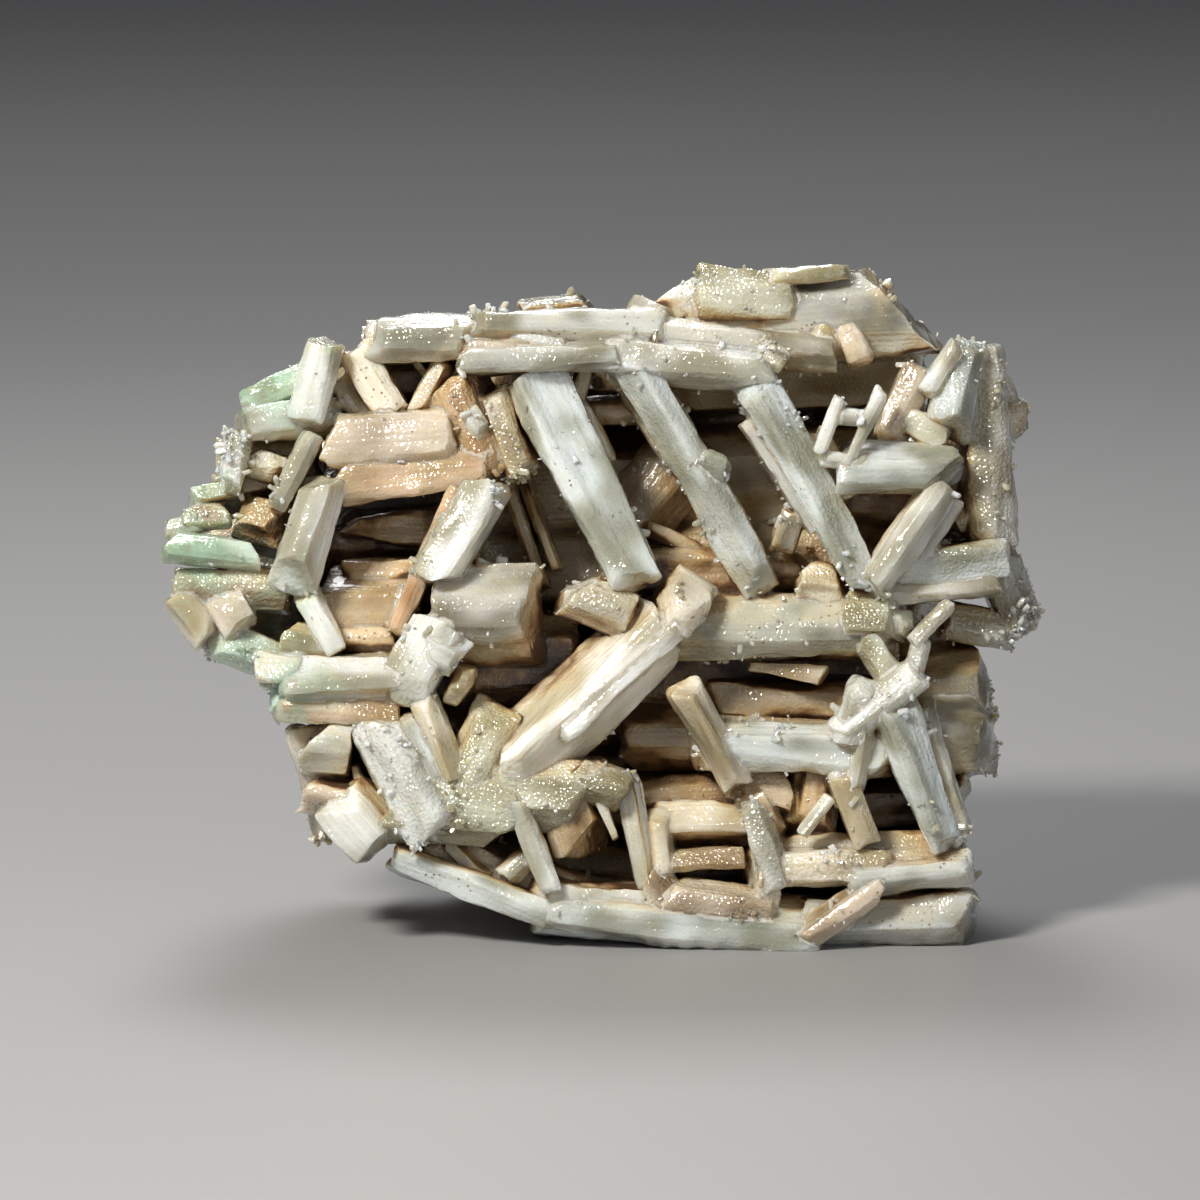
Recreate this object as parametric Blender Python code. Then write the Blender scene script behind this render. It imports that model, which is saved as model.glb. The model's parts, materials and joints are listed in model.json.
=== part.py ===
"""A cabinet specimen of cerussite: milky blades grown together as an open lattice.

The blades follow three directions about 60 degrees apart, so they cross and leave deep
triangular hollows between them. The whole network grew as one piece, so it is one solid.

Every blade is measured on the specimen's face: millimetres across from the left, down from
the top and deep behind the foremost point. The face leans back from the cut base.
"""

import math

import bmesh
import bpy
import numpy as np
from mathutils import Matrix, Vector

MM = 0.001
LEAN = math.radians(8.0)
BASE_CENTRE = (60.24, 95.7, 0.0)
CENTRE_BACK = 26.53

ALL_CHAMFERS_FROM = 5.6
LONG_CHAMFERS_FROM = 4.0
CHAMFER_SHARE = 0.2

BACK_INSET = 0.94
BACK_RIM = 27.0
BACK_MIDDLE = 37.5

OUTLINE = [
    (15.8, 56.0), (18.6, 49.0), (21.6, 47.0), (23.2, 40.2), (30.2, 35.2), (35.8, 31.6), (46.0, 31.6),
    (52.0, 29.4), (64.0, 30.4), (69.5, 26.6), (79.0, 25.8), (92.0, 27.6), (98.0, 33.4), (103.8, 41.0),
    (101.0, 50.0), (104.8, 59.0), (103.0, 64.0), (99.2, 66.0), (100.2, 76.0), (97.2, 86.0), (97.8, 94.0),
    (78.0, 95.4), (60.0, 93.8), (53.0, 93.0), (41.0, 87.4), (33.2, 84.6), (29.0, 76.0), (27.4, 70.0),
    (21.6, 66.0), (16.0, 61.0),
]


def new_collection(name, shown):
    """A collection for parts, or for the shapes that make them."""
    collection = bpy.data.collections.new(name)
    collection.hide_render = not shown
    bpy.context.scene.collection.children.link(collection)
    return collection


def face_matrix():
    """Turns (across, up, deep) millimetres on the leaning face into metres about the base's centre."""
    tilt = Matrix.Rotation(-LEAN, 4, "X")
    swap = Matrix(((1, 0, 0, 0), (0, 0, 1, 0), (0, 1, 0, 0), (0, 0, 0, 1)))
    back = Matrix.Translation((0, -CENTRE_BACK * MM, 0))
    return back @ tilt @ swap @ Matrix.Diagonal((MM, MM, MM, 1))


def on_face(across, down, deep):
    """A point of the face grid as (across, up, deep) about the base's centre, in millimetres."""
    return Vector((across - BASE_CENTRE[0], BASE_CENTRE[1] - down, deep))


def bevelled_box(width, thickness, length, tips, slants, chamfers):
    """A box along Z whose two ends narrow to a share of its section and may be cut aslant."""
    shape = bmesh.new()
    bmesh.ops.create_cube(shape, size=1.0)
    for vert in shape.verts:
        end = 0 if vert.co.z < 0 else 1
        side = vert.co.x
        vert.co.x *= width * tips[end]
        vert.co.y *= thickness * tips[end]
        vert.co.z = vert.co.z * length + side * slants[end]
    small = min(width, thickness)
    edges = []
    if small >= ALL_CHAMFERS_FROM and chamfers == "all":
        edges = list(shape.edges)
    elif small >= LONG_CHAMFERS_FROM and chamfers != "none":
        edges = [e for e in shape.edges if e.verts[0].co.z * e.verts[1].co.z < 0]
    if edges:
        offset = small * CHAMFER_SHARE * min(tips)
        bmesh.ops.bevel(shape, geom=edges, offset=offset, segments=1, affect="EDGES", clamp_overlap=True)
    return shape


def blade(name, start, end, width, thickness, tips=(1.0, 1.0), slants=(0.0, 0.0), roll=0.0, chamfers="all"):
    """One crystal between two points of the face grid. Its width lies in the face unless it is rolled."""
    a, b = on_face(*start), on_face(*end)
    along = (b - a).normalized()
    across = along.cross(Vector((0, 0, 1))).normalized()
    through = along.cross(across)
    turned = Matrix((across, through, along)).transposed() @ Matrix.Rotation(math.radians(roll), 3, "Z")
    shape = bevelled_box(width, thickness, (b - a).length, tips, slants, chamfers)
    place = face_matrix() @ Matrix.Translation((a + b) / 2) @ turned.to_4x4()
    bmesh.ops.transform(shape, matrix=place, verts=shape.verts)
    bmesh.ops.recalc_face_normals(shape, faces=shape.faces)
    mesh = bpy.data.meshes.new(name)
    shape.to_mesh(mesh)
    shape.free()
    item = bpy.data.objects.new(name, mesh)
    CRYSTALS.objects.link(item)
    item.display_type = "WIRE"
    return item


def top_slabs():
    """The horizontal slabs and lumps along the upper edge."""
    blade("top_left_slab", (36.8, 34.0, 10), (49.0, 33.6, 10), 4.2, 10, slants=(-2.4, 0))
    blade("top_left_backing", (36.0, 33.4, 15), (50.0, 33.6, 15), 3.4, 8, chamfers="none")
    blade("top_long_slab", (46.4, 32.6, 9), (67.0, 32.8, 11), 3.6, 11, tips=(0.85, 1))
    blade("top_second_slab", (45.6, 35.2, 8.5), (61.0, 35.4, 9), 2.8, 9)
    blade("top_third_slab", (45.4, 36.2, 7), (62.0, 35.6, 7.5), 2.6, 9, slants=(0.6, 0))
    blade("top_bright_wedge", (50.5, 33.4, 6), (57.0, 34.6, 5), 1.6, 4, tips=(0.5, 0.8))
    blade("grey_crossing", (65.6, 31.4, 11), (60.8, 38.0, 7), 5.0, 8)
    blade("upper_beam", (60.5, 35.9, 8.5), (77.5, 37.2, 8), 3.7, 9)
    blade("silver_plate", (65.8, 31.4, 12.5), (71.5, 28.6, 12.5), 3.8, 6, tips=(0.6, 1))
    blade("big_top_slab", (68.0, 32.8, 16), (92.8, 30.6, 15), 8.2, 11, slants=(-1.5, 4.4))
    blade("top_cream_lump", (69.5, 29.0, 12), (80.5, 29.8, 11.5), 6.0, 8, tips=(0.9, 0.7))
    blade("top_yellow_bar", (76.5, 27.6, 10), (85.4, 26.9, 10.5), 2.3, 5, tips=(0.8, 0.7))
    blade("top_tan_stub", (84.4, 32.2, 8.5), (86.4, 36.6, 9), 2.8, 5, tips=(0.6, 0.9))
    blade("top_pale_stub", (82.0, 32.4, 9), (84.0, 35.6, 9), 2.6, 4, tips=(0.7, 1))
    blade("top_back_ridge", (69.0, 30.3, 22), (90.0, 30.6, 22), 5.5, 12)
    blade("top_brown_lump", (51.6, 30.9, 13), (59.4, 30.2, 13), 2.8, 6, tips=(0.7, 0.85))
    blade("upper_web", (66.0, 33.6, 10.5), (84.0, 35.4, 10.5), 3.6, 8, chamfers="none")


def right_flank():
    """The blocky crystals that close the right end."""
    blade("corner_block", (96.9, 33.6, 9), (94.6, 43.8, 7.5), 5.0, 11, tips=(0.75, 0.9))
    blade("corner_plate", (96.0, 34.2, 5.5), (92.4, 39.4, 5.5), 1.8, 5)
    blade("flank_upper", (98.0, 34.2, 17), (99.6, 55.0, 17), 4.8, 18)
    blade("flank_cap", (99.6, 37.4, 16), (101.8, 44.0, 16), 4.2, 8, tips=(0.7, 0.9))
    blade("flank_ear", (97.5, 43.2, 15), (103.6, 41.2, 15), 3.6, 6, tips=(1, 0.75))
    blade("flank_lower", (98.6, 44.0, 14), (96.8, 54.0, 12), 4.0, 8)
    blade("right_bulge", (99.6, 54.5, 15), (103.0, 63.6, 14.5), 4.6, 11, tips=(0.9, 0.85))
    blade("bulge_root", (94.5, 62.0, 14), (102.0, 63.4, 14.5), 3.2, 8, chamfers="none")
    blade("right_slab_upper", (88.0, 69.4, 21), (99.6, 67.6, 20), 7.6, 14)
    blade("right_slab_main", (86.0, 73.4, 16.5), (100.2, 73.4, 16.5), 7.6, 16, slants=(0, 0.6))
    blade("right_slab_lower", (84.0, 81.0, 22), (97.6, 79.6, 21), 8.0, 14, slants=(0, -2.6))


def middle_lattice():
    """The crossing blades in the middle and right of the face."""
    blade("twin_left_bar", (83.9, 39.7, 1.6), (81.8, 45.4, 2.2), 1.1, 1.6)
    blade("twin_right_bar", (88.2, 38.9, 1.6), (84.1, 47.6, 2.2), 1.5, 2.0, tips=(1, 0.6))
    blade("twin_link", (82.8, 41.6, 2.4), (86.6, 41.9, 2.4), 1.6, 1.8)
    blade("twin_foot", (82.0, 45.8, 4), (86.5, 46.4, 3.8), 1.6, 4)
    blade("blunt_finger", (83.6, 46.6, 5.5), (96.9, 46.9, 5.5), 5.8, 8, tips=(0.9, 0.62))
    blade("cream_cluster", (75.4, 34.8, 5), (78.0, 36.6, 5.5), 3.2, 4, tips=(0.7, 1))
    blade("finger_drop", (81.0, 43.0, 9), (84.5, 50.0, 9), 3.0, 7)
    blade("bright_prop", (94.4, 48.4, 6), (86.9, 59.2, 5), 3.4, 6)
    blade("prop_edge", (95.6, 49.6, 7.5), (91.4, 56.0, 7.5), 2.2, 5)
    blade("yellow_fan", (90.0, 41.4, 6), (95.2, 44.2, 6), 3.6, 4, tips=(0.5, 1))
    blade("brown_prop", (92.2, 36.6, 8), (88.6, 44.6, 8), 3.4, 7)
    blade("central_diagonal", (75.2, 37.6, 6), (87.4, 59.6, 6.5), 4.4, 8, tips=(1, 0.62))
    blade("central_side_plate", (74.6, 42.0, 6.5), (81.8, 53.0, 6.5), 1.6, 5)
    blade("central_stub", (79.6, 50.8, 8), (78.2, 55.0, 9), 2.4, 4)
    blade("second_diagonal", (63.2, 35.6, 8), (76.4, 59.4, 9), 4.2, 9, tips=(1, 0.85))
    blade("second_knob", (69.2, 45.6, 5.5), (73.0, 47.0, 5.5), 3.2, 5, tips=(1, 0.75))
    blade("second_inner_blade", (62.2, 37.0, 13), (68.0, 46.4, 14), 2.4, 7)
    blade("front_blade", (53.2, 37.4, 8), (64.4, 59.4, 5.5), 5.9, 9, tips=(1, 0.68))
    blade("front_blade_step", (56.6, 40.0, 9.5), (60.2, 46.8, 9), 3.2, 6)
    blade("left_hanging_plate", (56.4, 36.2, 8.5), (55.8, 39.8, 8.5), 1.5, 4)
    blade("right_hanging_plate", (58.6, 36.0, 9), (57.4, 40.4, 9), 1.6, 4)
    blade("window_beam", (55.5, 40.8, 14), (65.0, 40.8, 14), 2.4, 6, chamfers="none")
    blade("window_ledge", (56.0, 38.6, 17), (66.0, 38.8, 17), 2.6, 7, chamfers="none")
    blade("cavity_plate", (70.2, 43.6, 21), (60.5, 55.5, 19), 7.6, 8, chamfers="none")
    blade("cavity_spindle", (64.4, 52.6, 14), (71.9, 55.6, 13.5), 1.8, 3, tips=(1, 0.4))
    blade("cavity_floor", (62.0, 57.2, 18), (82.0, 57.2, 18), 5.0, 12, chamfers="none")
    blade("triangle_back", (83.0, 50.6, 18), (94.0, 51.0, 18), 7.6, 10, chamfers="none")
    blade("middle_slab", (64.0, 62.8, 13), (90.0, 62.6, 13), 5.8, 14)
    blade("middle_block", (79.6, 58.6, 9), (85.4, 58.8, 9), 4.6, 6)
    blade("middle_lump", (84.4, 61.4, 7), (91.0, 62.0, 7), 4.4, 6)
    blade("right_blade_upper", (88.4, 56.8, 9), (101.0, 55.8, 10), 3.6, 8)
    blade("right_blade_lower", (87.0, 59.4, 10), (100.5, 58.2, 11), 2.6, 9)
    blade("sparkle_rod", (95.2, 60.2, 4), (91.0, 64.4, 4), 1.6, 2.4)
    blade("sparkle_rod_foot", (92.4, 63.6, 4.4), (91.2, 68.4, 5), 1.8, 3)
    blade("rod_root", (91.2, 62.4, 6.5), (87.5, 62.0, 7), 2.4, 4)
    blade("yellow_brace", (86.4, 63.6, 7), (90.8, 69.8, 6.5), 2.6, 5)
    blade("white_bridge", (92.2, 66.8, 4.8), (83.6, 73.6, 5), 3.0, 5)
    blade("bridge_plate", (86.6, 67.6, 4.4), (84.6, 74.6, 5), 3.2, 4)
    blade("bridge_leg", (86.9, 70.5, 5), (85.4, 79.6, 5.5), 1.7, 4)
    blade("tan_leg", (84.0, 77.0, 6), (86.9, 84.6, 6.5), 2.5, 5)
    blade("right_strut", (89.0, 69.8, 6), (94.9, 85.0, 7), 5.0, 9, tips=(0.9, 0.6))
    blade("strut_side", (92.4, 70.0, 9), (96.4, 84.6, 9.5), 2.4, 6)
    blade("low_slab", (69.0, 74.4, 11), (90.0, 75.2, 11), 4.8, 12)
    blade("low_slab_ledge", (70.5, 70.2, 17), (88.0, 70.2, 17), 4.2, 10, chamfers="none")
    blade("low_slab_back", (62.0, 74.0, 17), (74.0, 74.0, 17), 6.4, 10, chamfers="none")
    blade("hanging_spindle", (75.0, 66.6, 10), (83.0, 67.6, 10), 2.2, 4, tips=(0.4, 1))
    blade("cream_brace", (68.2, 68.4, 5), (74.0, 78.6, 7), 2.9, 6)


def lower_edge():
    """The slabs, struts and rods along the bottom."""
    blade("tan_web", (73.0, 78.0, 10), (79.8, 80.0, 10), 4.0, 6)
    blade("web_drop", (75.0, 79.0, 9), (77.6, 84.0, 9), 3.4, 6)
    blade("orange_block", (81.8, 76.0, 11), (80.6, 84.6, 11), 5.2, 7)
    blade("white_bar", (83.1, 79.6, 5), (80.1, 83.5, 5), 1.3, 1.8)
    blade("bar_root", (83.4, 76.6, 6.5), (85.0, 80.6, 6.5), 2.4, 4)
    blade("deep_band", (61.0, 80.0, 18), (76.0, 79.0, 18), 3.0, 10, chamfers="none")
    blade("lower_slab", (64.0, 82.6, 12), (76.5, 82.8, 12), 4.2, 11)
    blade("lower_slab_right", (74.0, 86.4, 14), (97.0, 85.6, 14), 4.4, 14)
    blade("pale_leaf", (62.8, 76.6, 6), (64.8, 90.4, 6), 5.6, 7, tips=(0.55, 0.4))
    blade("leaf_heel", (65.4, 81.0, 8), (66.6, 88.0, 8), 3.0, 5)
    blade("upright_block", (75.0, 79.6, 5), (77.8, 89.0, 6), 2.9, 4, tips=(0.85, 1))
    blade("drusy_bar", (75.6, 87.2, 6.5), (89.4, 86.6, 6.5), 3.2, 5)
    blade("blue_slab", (84.0, 88.2, 8.5), (97.3, 86.8, 8.5), 4.2, 9, tips=(1, 0.75))
    blade("drusy_post", (77.0, 86.0, 7), (76.2, 93.6, 7), 2.4, 4)
    blade("slant_rod", (88.2, 88.4, 5.5), (79.6, 94.2, 5.5), 2.6, 4)
    blade("base_right_slab", (80.0, 92.6, 15), (98.0, 92.2, 15), 5.2, 18)
    blade("base_right_back", (92.0, 89.6, 21), (97.9, 89.6, 21), 6.5, 10)
    blade("base_slab", (53.0, 90.8, 13), (82.0, 92.8, 13), 5.4, 16, chamfers="none")
    blade("base_slab_front", (55.0, 90.2, 7.5), (70.0, 91.4, 7.5), 3.0, 5)
    blade("base_lumps", (66.4, 90.6, 8), (78.6, 92.2, 8), 5.4, 7)
    blade("leaf_foot", (64.6, 87.2, 7), (68.4, 91.8, 7), 3.2, 5)
    blade("tan_shelf", (66.0, 86.4, 8), (74.6, 85.8, 8), 2.2, 5)
    blade("lower_left_plate", (39.0, 85.6, 9), (56.0, 91.8, 8.5), 3.2, 9, tips=(0.8, 0.9))
    blade("lower_left_back", (42.0, 84.6, 15), (58.0, 90.6, 15), 5.0, 12, chamfers="none")
    blade("slim_upright", (51.4, 79.6, 4.5), (55.2, 89.4, 5.5), 2.0, 4)
    blade("tan_leaf", (44.0, 83.4, 10), (48.2, 88.4, 10), 3.0, 5)
    blade("white_scrap", (50.2, 88.0, 7.5), (53.2, 85.0, 7.5), 2.4, 3)
    blade("tan_block", (56.0, 78.0, 10), (58.6, 85.8, 9.5), 5.6, 8)
    blade("flake", (59.6, 79.0, 7), (61.6, 84.0, 7), 1.4, 4, tips=(1, 0.5))


def front_mass():
    """The broad white blade in front and the greenish mass it grows from."""
    blade("great_blade", (67.6, 60.6, 7.5), (49.4, 78.6, 7), 9.6, 11, tips=(0.72, 0.9))
    blade("great_blade_rib", (70.2, 59.6, 5.5), (54.0, 74.6, 4.2), 4.6, 6, tips=(0.9, 0.6))
    blade("great_blade_head", (66.0, 58.6, 6), (70.6, 61.6, 6), 5.4, 8)
    blade("great_blade_shoulder", (55.6, 59.0, 8), (63.5, 62.0, 7.5), 4.6, 8)
    blade("great_blade_flank", (50.2, 70.6, 8.5), (45.6, 78.6, 7.5), 5.0, 8)
    blade("great_blade_foot", (48.0, 79.6, 8), (60.8, 79.4, 8), 6.4, 8)
    blade("drusy_bridge", (56.8, 77.4, 7), (62.8, 79.4, 7), 3.6, 6)
    blade("green_wax_mass", (38.0, 79.4, 8), (52.5, 80.6, 8), 8.6, 9)
    blade("first_finger", (37.0, 71.6, 5.5), (43.4, 83.8, 6), 4.6, 8)
    blade("second_finger", (39.8, 71.6, 6.5), (43.8, 78.6, 6.5), 2.9, 6)
    blade("third_finger", (41.9, 68.8, 5), (45.4, 78.0, 5.5), 2.6, 5)
    blade("corner_foot", (33.6, 79.4, 8), (38.4, 84.6, 7.5), 5.8, 9)
    blade("left_white_block", (29.6, 74.2, 9), (35.4, 74.8, 9), 5.6, 9)
    blade("left_pink_block", (30.0, 79.0, 9.5), (37.0, 80.4, 9), 4.6, 8, slants=(-1.2, 0))
    blade("left_spike", (35.4, 76.4, 7), (36.4, 80.0, 7), 1.2, 2, tips=(0.4, 1))
    blade("left_column", (31.4, 72.0, 14), (34.6, 84.0, 14), 6.0, 10, chamfers="none")
    blade("behind_fingers", (36.0, 74.0, 14), (50.0, 74.0, 14), 8.0, 10, chamfers="none")


def middle_left():
    """The bulky block, the plates over it and the hollow behind them."""
    blade("left_bar", (27.6, 68.2, 7.5), (41.0, 68.2, 8), 4.6, 9)
    blade("left_bar_under", (27.2, 70.8, 9), (40.0, 71.2, 9), 2.4, 9, chamfers="none")
    blade("yellow_slab", (30.0, 61.2, 13.5), (42.0, 61.0, 13.5), 8.4, 11)
    blade("yellow_lip", (31.0, 64.0, 10), (40.0, 64.0, 10), 2.4, 6)
    blade("hollow_spindle", (45.0, 52.9, 16), (33.6, 52.5, 16), 4.2, 7, tips=(1, 0.35))
    blade("hollow_back", (30.0, 56.0, 22), (48.0, 55.0, 22), 9.0, 10, chamfers="none")
    blade("hollow_shelf", (33.8, 57.3, 13), (42.5, 57.0, 13), 2.4, 6)
    blade("left_blade", (48.9, 47.8, 6.5), (43.0, 58.6, 6), 4.4, 8)
    blade("left_blade_edge", (45.8, 48.6, 7.5), (39.4, 63.6, 7.5), 1.8, 7)
    blade("bulky_block", (42.6, 62.0, 8.5), (54.4, 61.4, 9), 9.4, 11)
    blade("block_front_plate", (44.4, 61.8, 4.4), (39.8, 70.2, 4.6), 5.0, 5, slants=(1.6, 0))
    blade("plate_corner", (42.2, 63.8, 4), (46.2, 66.2, 4), 4.0, 4)
    blade("block_chip", (44.6, 68.2, 7), (47.4, 68.8, 7), 3.6, 6)
    blade("small_spike_left", (48.3, 56.0, 7), (47.6, 59.4, 6.5), 1.4, 2.4)
    blade("small_spike_right", (50.2, 55.4, 7.5), (50.0, 59.0, 7.5), 1.2, 2.0)
    blade("deep_blade_left", (50.4, 47.6, 17), (54.4, 59.0, 17), 1.4, 7)
    blade("deep_blade_right", (52.2, 47.6, 16), (55.6, 57.0, 16), 1.2, 6)
    blade("behind_block", (42.0, 66.0, 16), (58.0, 66.0, 16), 9.0, 10, chamfers="none")
    blade("deep_left_wall", (46.0, 50.0, 24), (60.0, 50.0, 24), 12.0, 10, chamfers="none")


def left_end():
    """The upper left slabs and the small green and tan crystals of the left end."""
    blade("left_slab_white", (31.8, 44.2, 9), (45.4, 43.4, 9), 5.0, 10)
    blade("left_slab_amber", (32.8, 48.4, 10), (49.6, 46.2, 10), 4.2, 11, slants=(-0.6, 0))
    blade("grey_left_slab", (23.4, 42.3, 9), (34.0, 41.8, 10), 3.4, 8)
    blade("green_upper_slab", (23.8, 40.6, 11), (31.5, 37.4, 12), 3.6, 7, tips=(0.8, 1))
    blade("white_pillar", (32.6, 34.0, 6.5), (30.4, 42.4, 6.5), 3.5, 7)
    blade("cream_plate", (35.2, 34.6, 8), (39.4, 41.8, 8), 3.2, 4)
    blade("cream_plate_back", (33.6, 37.6, 10), (36.4, 41.8, 10), 2.6, 4)
    blade("window_blade", (40.9, 35.2, 11), (43.8, 39.2, 11), 1.0, 4)
    blade("speckled_plate", (44.8, 35.8, 8.5), (41.6, 41.6, 8.5), 2.2, 5)
    blade("upper_hollow_back", (33.0, 38.6, 18), (46.0, 38.6, 18), 7.0, 8, chamfers="none")
    blade("amber_knot", (45.0, 37.6, 9.5), (48.6, 47.6, 9.5), 6.8, 9)
    blade("pale_lumps", (49.0, 38.6, 8), (52.4, 47.4, 8.5), 3.4, 6)
    blade("knot_facet", (46.6, 40.8, 5.8), (48.4, 43.8, 5.8), 2.2, 3)
    blade("left_rod", (31.3, 43.4, 5.5), (27.5, 51.0, 5), 2.0, 4)
    blade("ribbed_fan", (32.8, 47.6, 5), (29.0, 59.4, 5), 5.4, 7, tips=(0.8, 0.9), slants=(1.2, 0))
    blade("white_leaf", (30.4, 59.0, 6.5), (33.8, 65.4, 6.5), 2.9, 5, tips=(0.9, 0.6))
    blade("left_white_blob", (23.8, 43.2, 7.5), (22.4, 49.6, 7.5), 4.0, 7, tips=(0.8, 0.6))
    blade("blob_side", (24.4, 46.0, 8.5), (28.4, 47.2, 9), 2.8, 5)
    blade("pale_green_tip", (18.7, 49.6, 9.5), (24.0, 48.8, 10), 1.9, 4)
    blade("tan_knobs_upper", (18.2, 51.8, 9), (23.0, 51.4, 9), 2.4, 5)
    blade("left_web", (21.0, 48.0, 14), (32.0, 46.0, 14), 7.0, 9, chamfers="none")
    blade("crumb_bed", (23.4, 51.4, 9), (28.6, 52.6, 9), 4.2, 5, chamfers="none")
    blade("green_blade", (16.0, 54.6, 6.5), (26.6, 55.9, 7.5), 4.4, 7, tips=(0.8, 0.6))
    blade("grey_left_tip", (16.2, 53.0, 9), (20.6, 52.2, 9), 2.0, 4)
    blade("tan_druse_bed", (16.8, 59.0, 9), (29.0, 59.0, 10), 4.2, 7, chamfers="none")
    blade("pale_lower_left", (17.2, 59.4, 7), (20.9, 64.2, 7), 3.0, 5)
    blade("pink_block", (21.8, 58.8, 6.5), (24.6, 63.8, 6.5), 3.4, 5)
    blade("lower_left_druse", (20.4, 63.6, 9), (28.4, 66.8, 9), 3.6, 7)
    blade("amber_green_block", (28.0, 64.0, 9), (34.0, 64.8, 9), 3.8, 7)
    blade("round_block", (25.4, 66.9, 7.5), (30.6, 67.2, 7.5), 3.6, 7)
    blade("green_band", (26.8, 69.9, 9), (33.0, 70.3, 9), 2.6, 7)
    blade("left_end_core", (19.0, 57.6, 15), (32.0, 58.6, 15), 12.4, 9, chamfers="none")


def line_span(point, direction, inset):
    """Where a line across the face enters and leaves the outline, drawn in towards its middle."""
    outline = np.array(OUTLINE)
    middle = outline.mean(axis=0)
    corners = middle + (outline - middle) * inset
    edges = np.roll(corners, -1, axis=0) - corners
    normal = np.array((-direction[1], direction[0]))
    ahead = (corners - point) @ normal
    passed = np.roll(ahead, -1)
    crossed = ahead * passed < 0
    share = ahead[crossed] / (ahead[crossed] - passed[crossed])
    hits = (corners[crossed] + edges[crossed] * share[:, None] - point) @ direction
    return (hits.min(), hits.max()) if len(hits) else None


def outline_span(point, direction, inset, width):
    """The length along which a strip as wide as the crystal stays within the outline."""
    side = np.array((-direction[1], direction[0])) * width * 0.4
    spans = [line_span(point + side * k, direction, inset) for k in (-1, 0, 1)]
    if None in spans:
        return None
    return max(s[0] for s in spans), min(s[1] for s in spans)


def grown_behind(name, point, angle, depth, length, width, thickness, chamfers):
    """One hidden crystal through a point, as long as asked but cut off where it meets the outline."""
    turn = math.radians(angle)
    direction = np.array((math.cos(turn), -math.sin(turn)))
    span = outline_span(point, direction, BACK_INSET, width)
    if span is None:
        return
    first, last = max(span[0], -length / 2), min(span[1], length / 2)
    if last - first < width:
        return
    start, end = point + direction * first, point + direction * last
    blade(name, (*start, depth), (*end, depth + 1.0), width, thickness, chamfers=chamfers)


def inner_layer(name, angle, depth, pitch, width, thickness, seed):
    """A layer of parallel crystals right behind the face's own."""
    rng = np.random.default_rng(seed)
    turn = math.radians(angle)
    normal = np.array((-math.sin(turn), -math.cos(turn)))
    middle = np.array(OUTLINE).mean(axis=0)
    for row in range(-4, 5):
        point = middle + normal * pitch * (row + 0.2 * rng.uniform(-1, 1))
        grown_behind(f"{name}_{row}", point, angle, depth + rng.uniform(-1, 1), 90, width, thickness, "none")


def back_crystals():
    """The back of the specimen: short crystals in the same three directions, over a domed surface."""
    rng = np.random.default_rng(41)
    outline = np.array(OUTLINE)
    middle = outline.mean(axis=0)
    reach = np.abs(outline - middle).max(axis=0)
    for row in range(6):
        for column in range(7):
            step = np.array((column + 0.5 * (row % 2), row)) + rng.uniform(-0.3, 0.3, 2)
            point = np.array((25.0, 33.0)) + step * np.array((11.0, 11.4))
            away = min(1.0, float(np.sum(((point - middle) / reach) ** 2)))
            angle = rng.choice((3, 60, -58)) + rng.uniform(-6, 6)
            width, length = rng.uniform(5.2, 8.6), rng.uniform(15, 30)
            depth = BACK_RIM + (BACK_MIDDLE - BACK_RIM) * (1 - away) + rng.uniform(-1.6, 1.6)
            grown_behind(f"back_{row}_{column}", point, angle, depth, length, width, rng.uniform(7, 10), "long")


def back_lattice():
    """The same network carried on behind the face, down to the cut base."""
    inner_layer("level_deep", 2, 23, 10.5, 9.6, 9, 11)
    inner_layer("falling_deep", -60, 29, 11.0, 9.4, 8, 12)
    back_crystals()
    blade("base_back_slab", (51.0, 89.6, 28), (96.0, 89.0, 28), 8.0, 14, chamfers="long")
    blade("base_rear_slab", (57.0, 89.0, 35.5), (76.0, 89.4, 36), 7.4, 9, tips=(0.8, 1), chamfers="long")
    blade("base_rear_block", (74.0, 88.0, 37), (89.0, 89.0, 35), 8.6, 9, tips=(1, 0.8), chamfers="long")


def evaluated_mesh(item, name):
    """The object's mesh with its modifiers done, as a new mesh."""
    bpy.context.view_layer.update()
    graph = bpy.context.evaluated_depsgraph_get()
    return bpy.data.meshes.new_from_object(item.evaluated_get(graph), depsgraph=graph)


def islands(shape):
    """The connected groups of faces of a bmesh."""
    left, groups = set(shape.faces), []
    while left:
        first = left.pop()
        group, front = [first], [first]
        while front:
            near = {f for e in front.pop().edges for f in e.link_faces} & left
            left -= near
            group += near
            front += near
        groups.append(group)
    return groups


def signed_volume(faces):
    """The volume within a group of faces, below zero where they face inwards."""
    total = 0.0
    for face in faces:
        first, *rest = [v.co for v in face.verts]
        total += sum(first.dot(b.cross(c)) for b, c in zip(rest, rest[1:])) / 6
    return total


def keep_outer_shell(mesh):
    """Fills sealed voids: only the largest outward shell stays."""
    shape = bmesh.new()
    shape.from_mesh(mesh)
    groups = islands(shape)
    groups.sort(key=signed_volume)
    dropped = [face for group in groups[:-1] for face in group]
    bmesh.ops.delete(shape, geom=dropped, context="FACES")
    bmesh.ops.triangulate(shape, faces=shape.faces)
    shape.to_mesh(mesh)
    shape.free()
    return len(groups)


def material(name, colour, roughness):
    """A plain finish for one mineral."""
    made = bpy.data.materials.new(name)
    made.use_nodes = True
    shader = made.node_tree.nodes["Principled BSDF"]
    shader.inputs["Base Color"].default_value = (*colour, 1)
    shader.inputs["Roughness"].default_value = roughness
    return made


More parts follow.
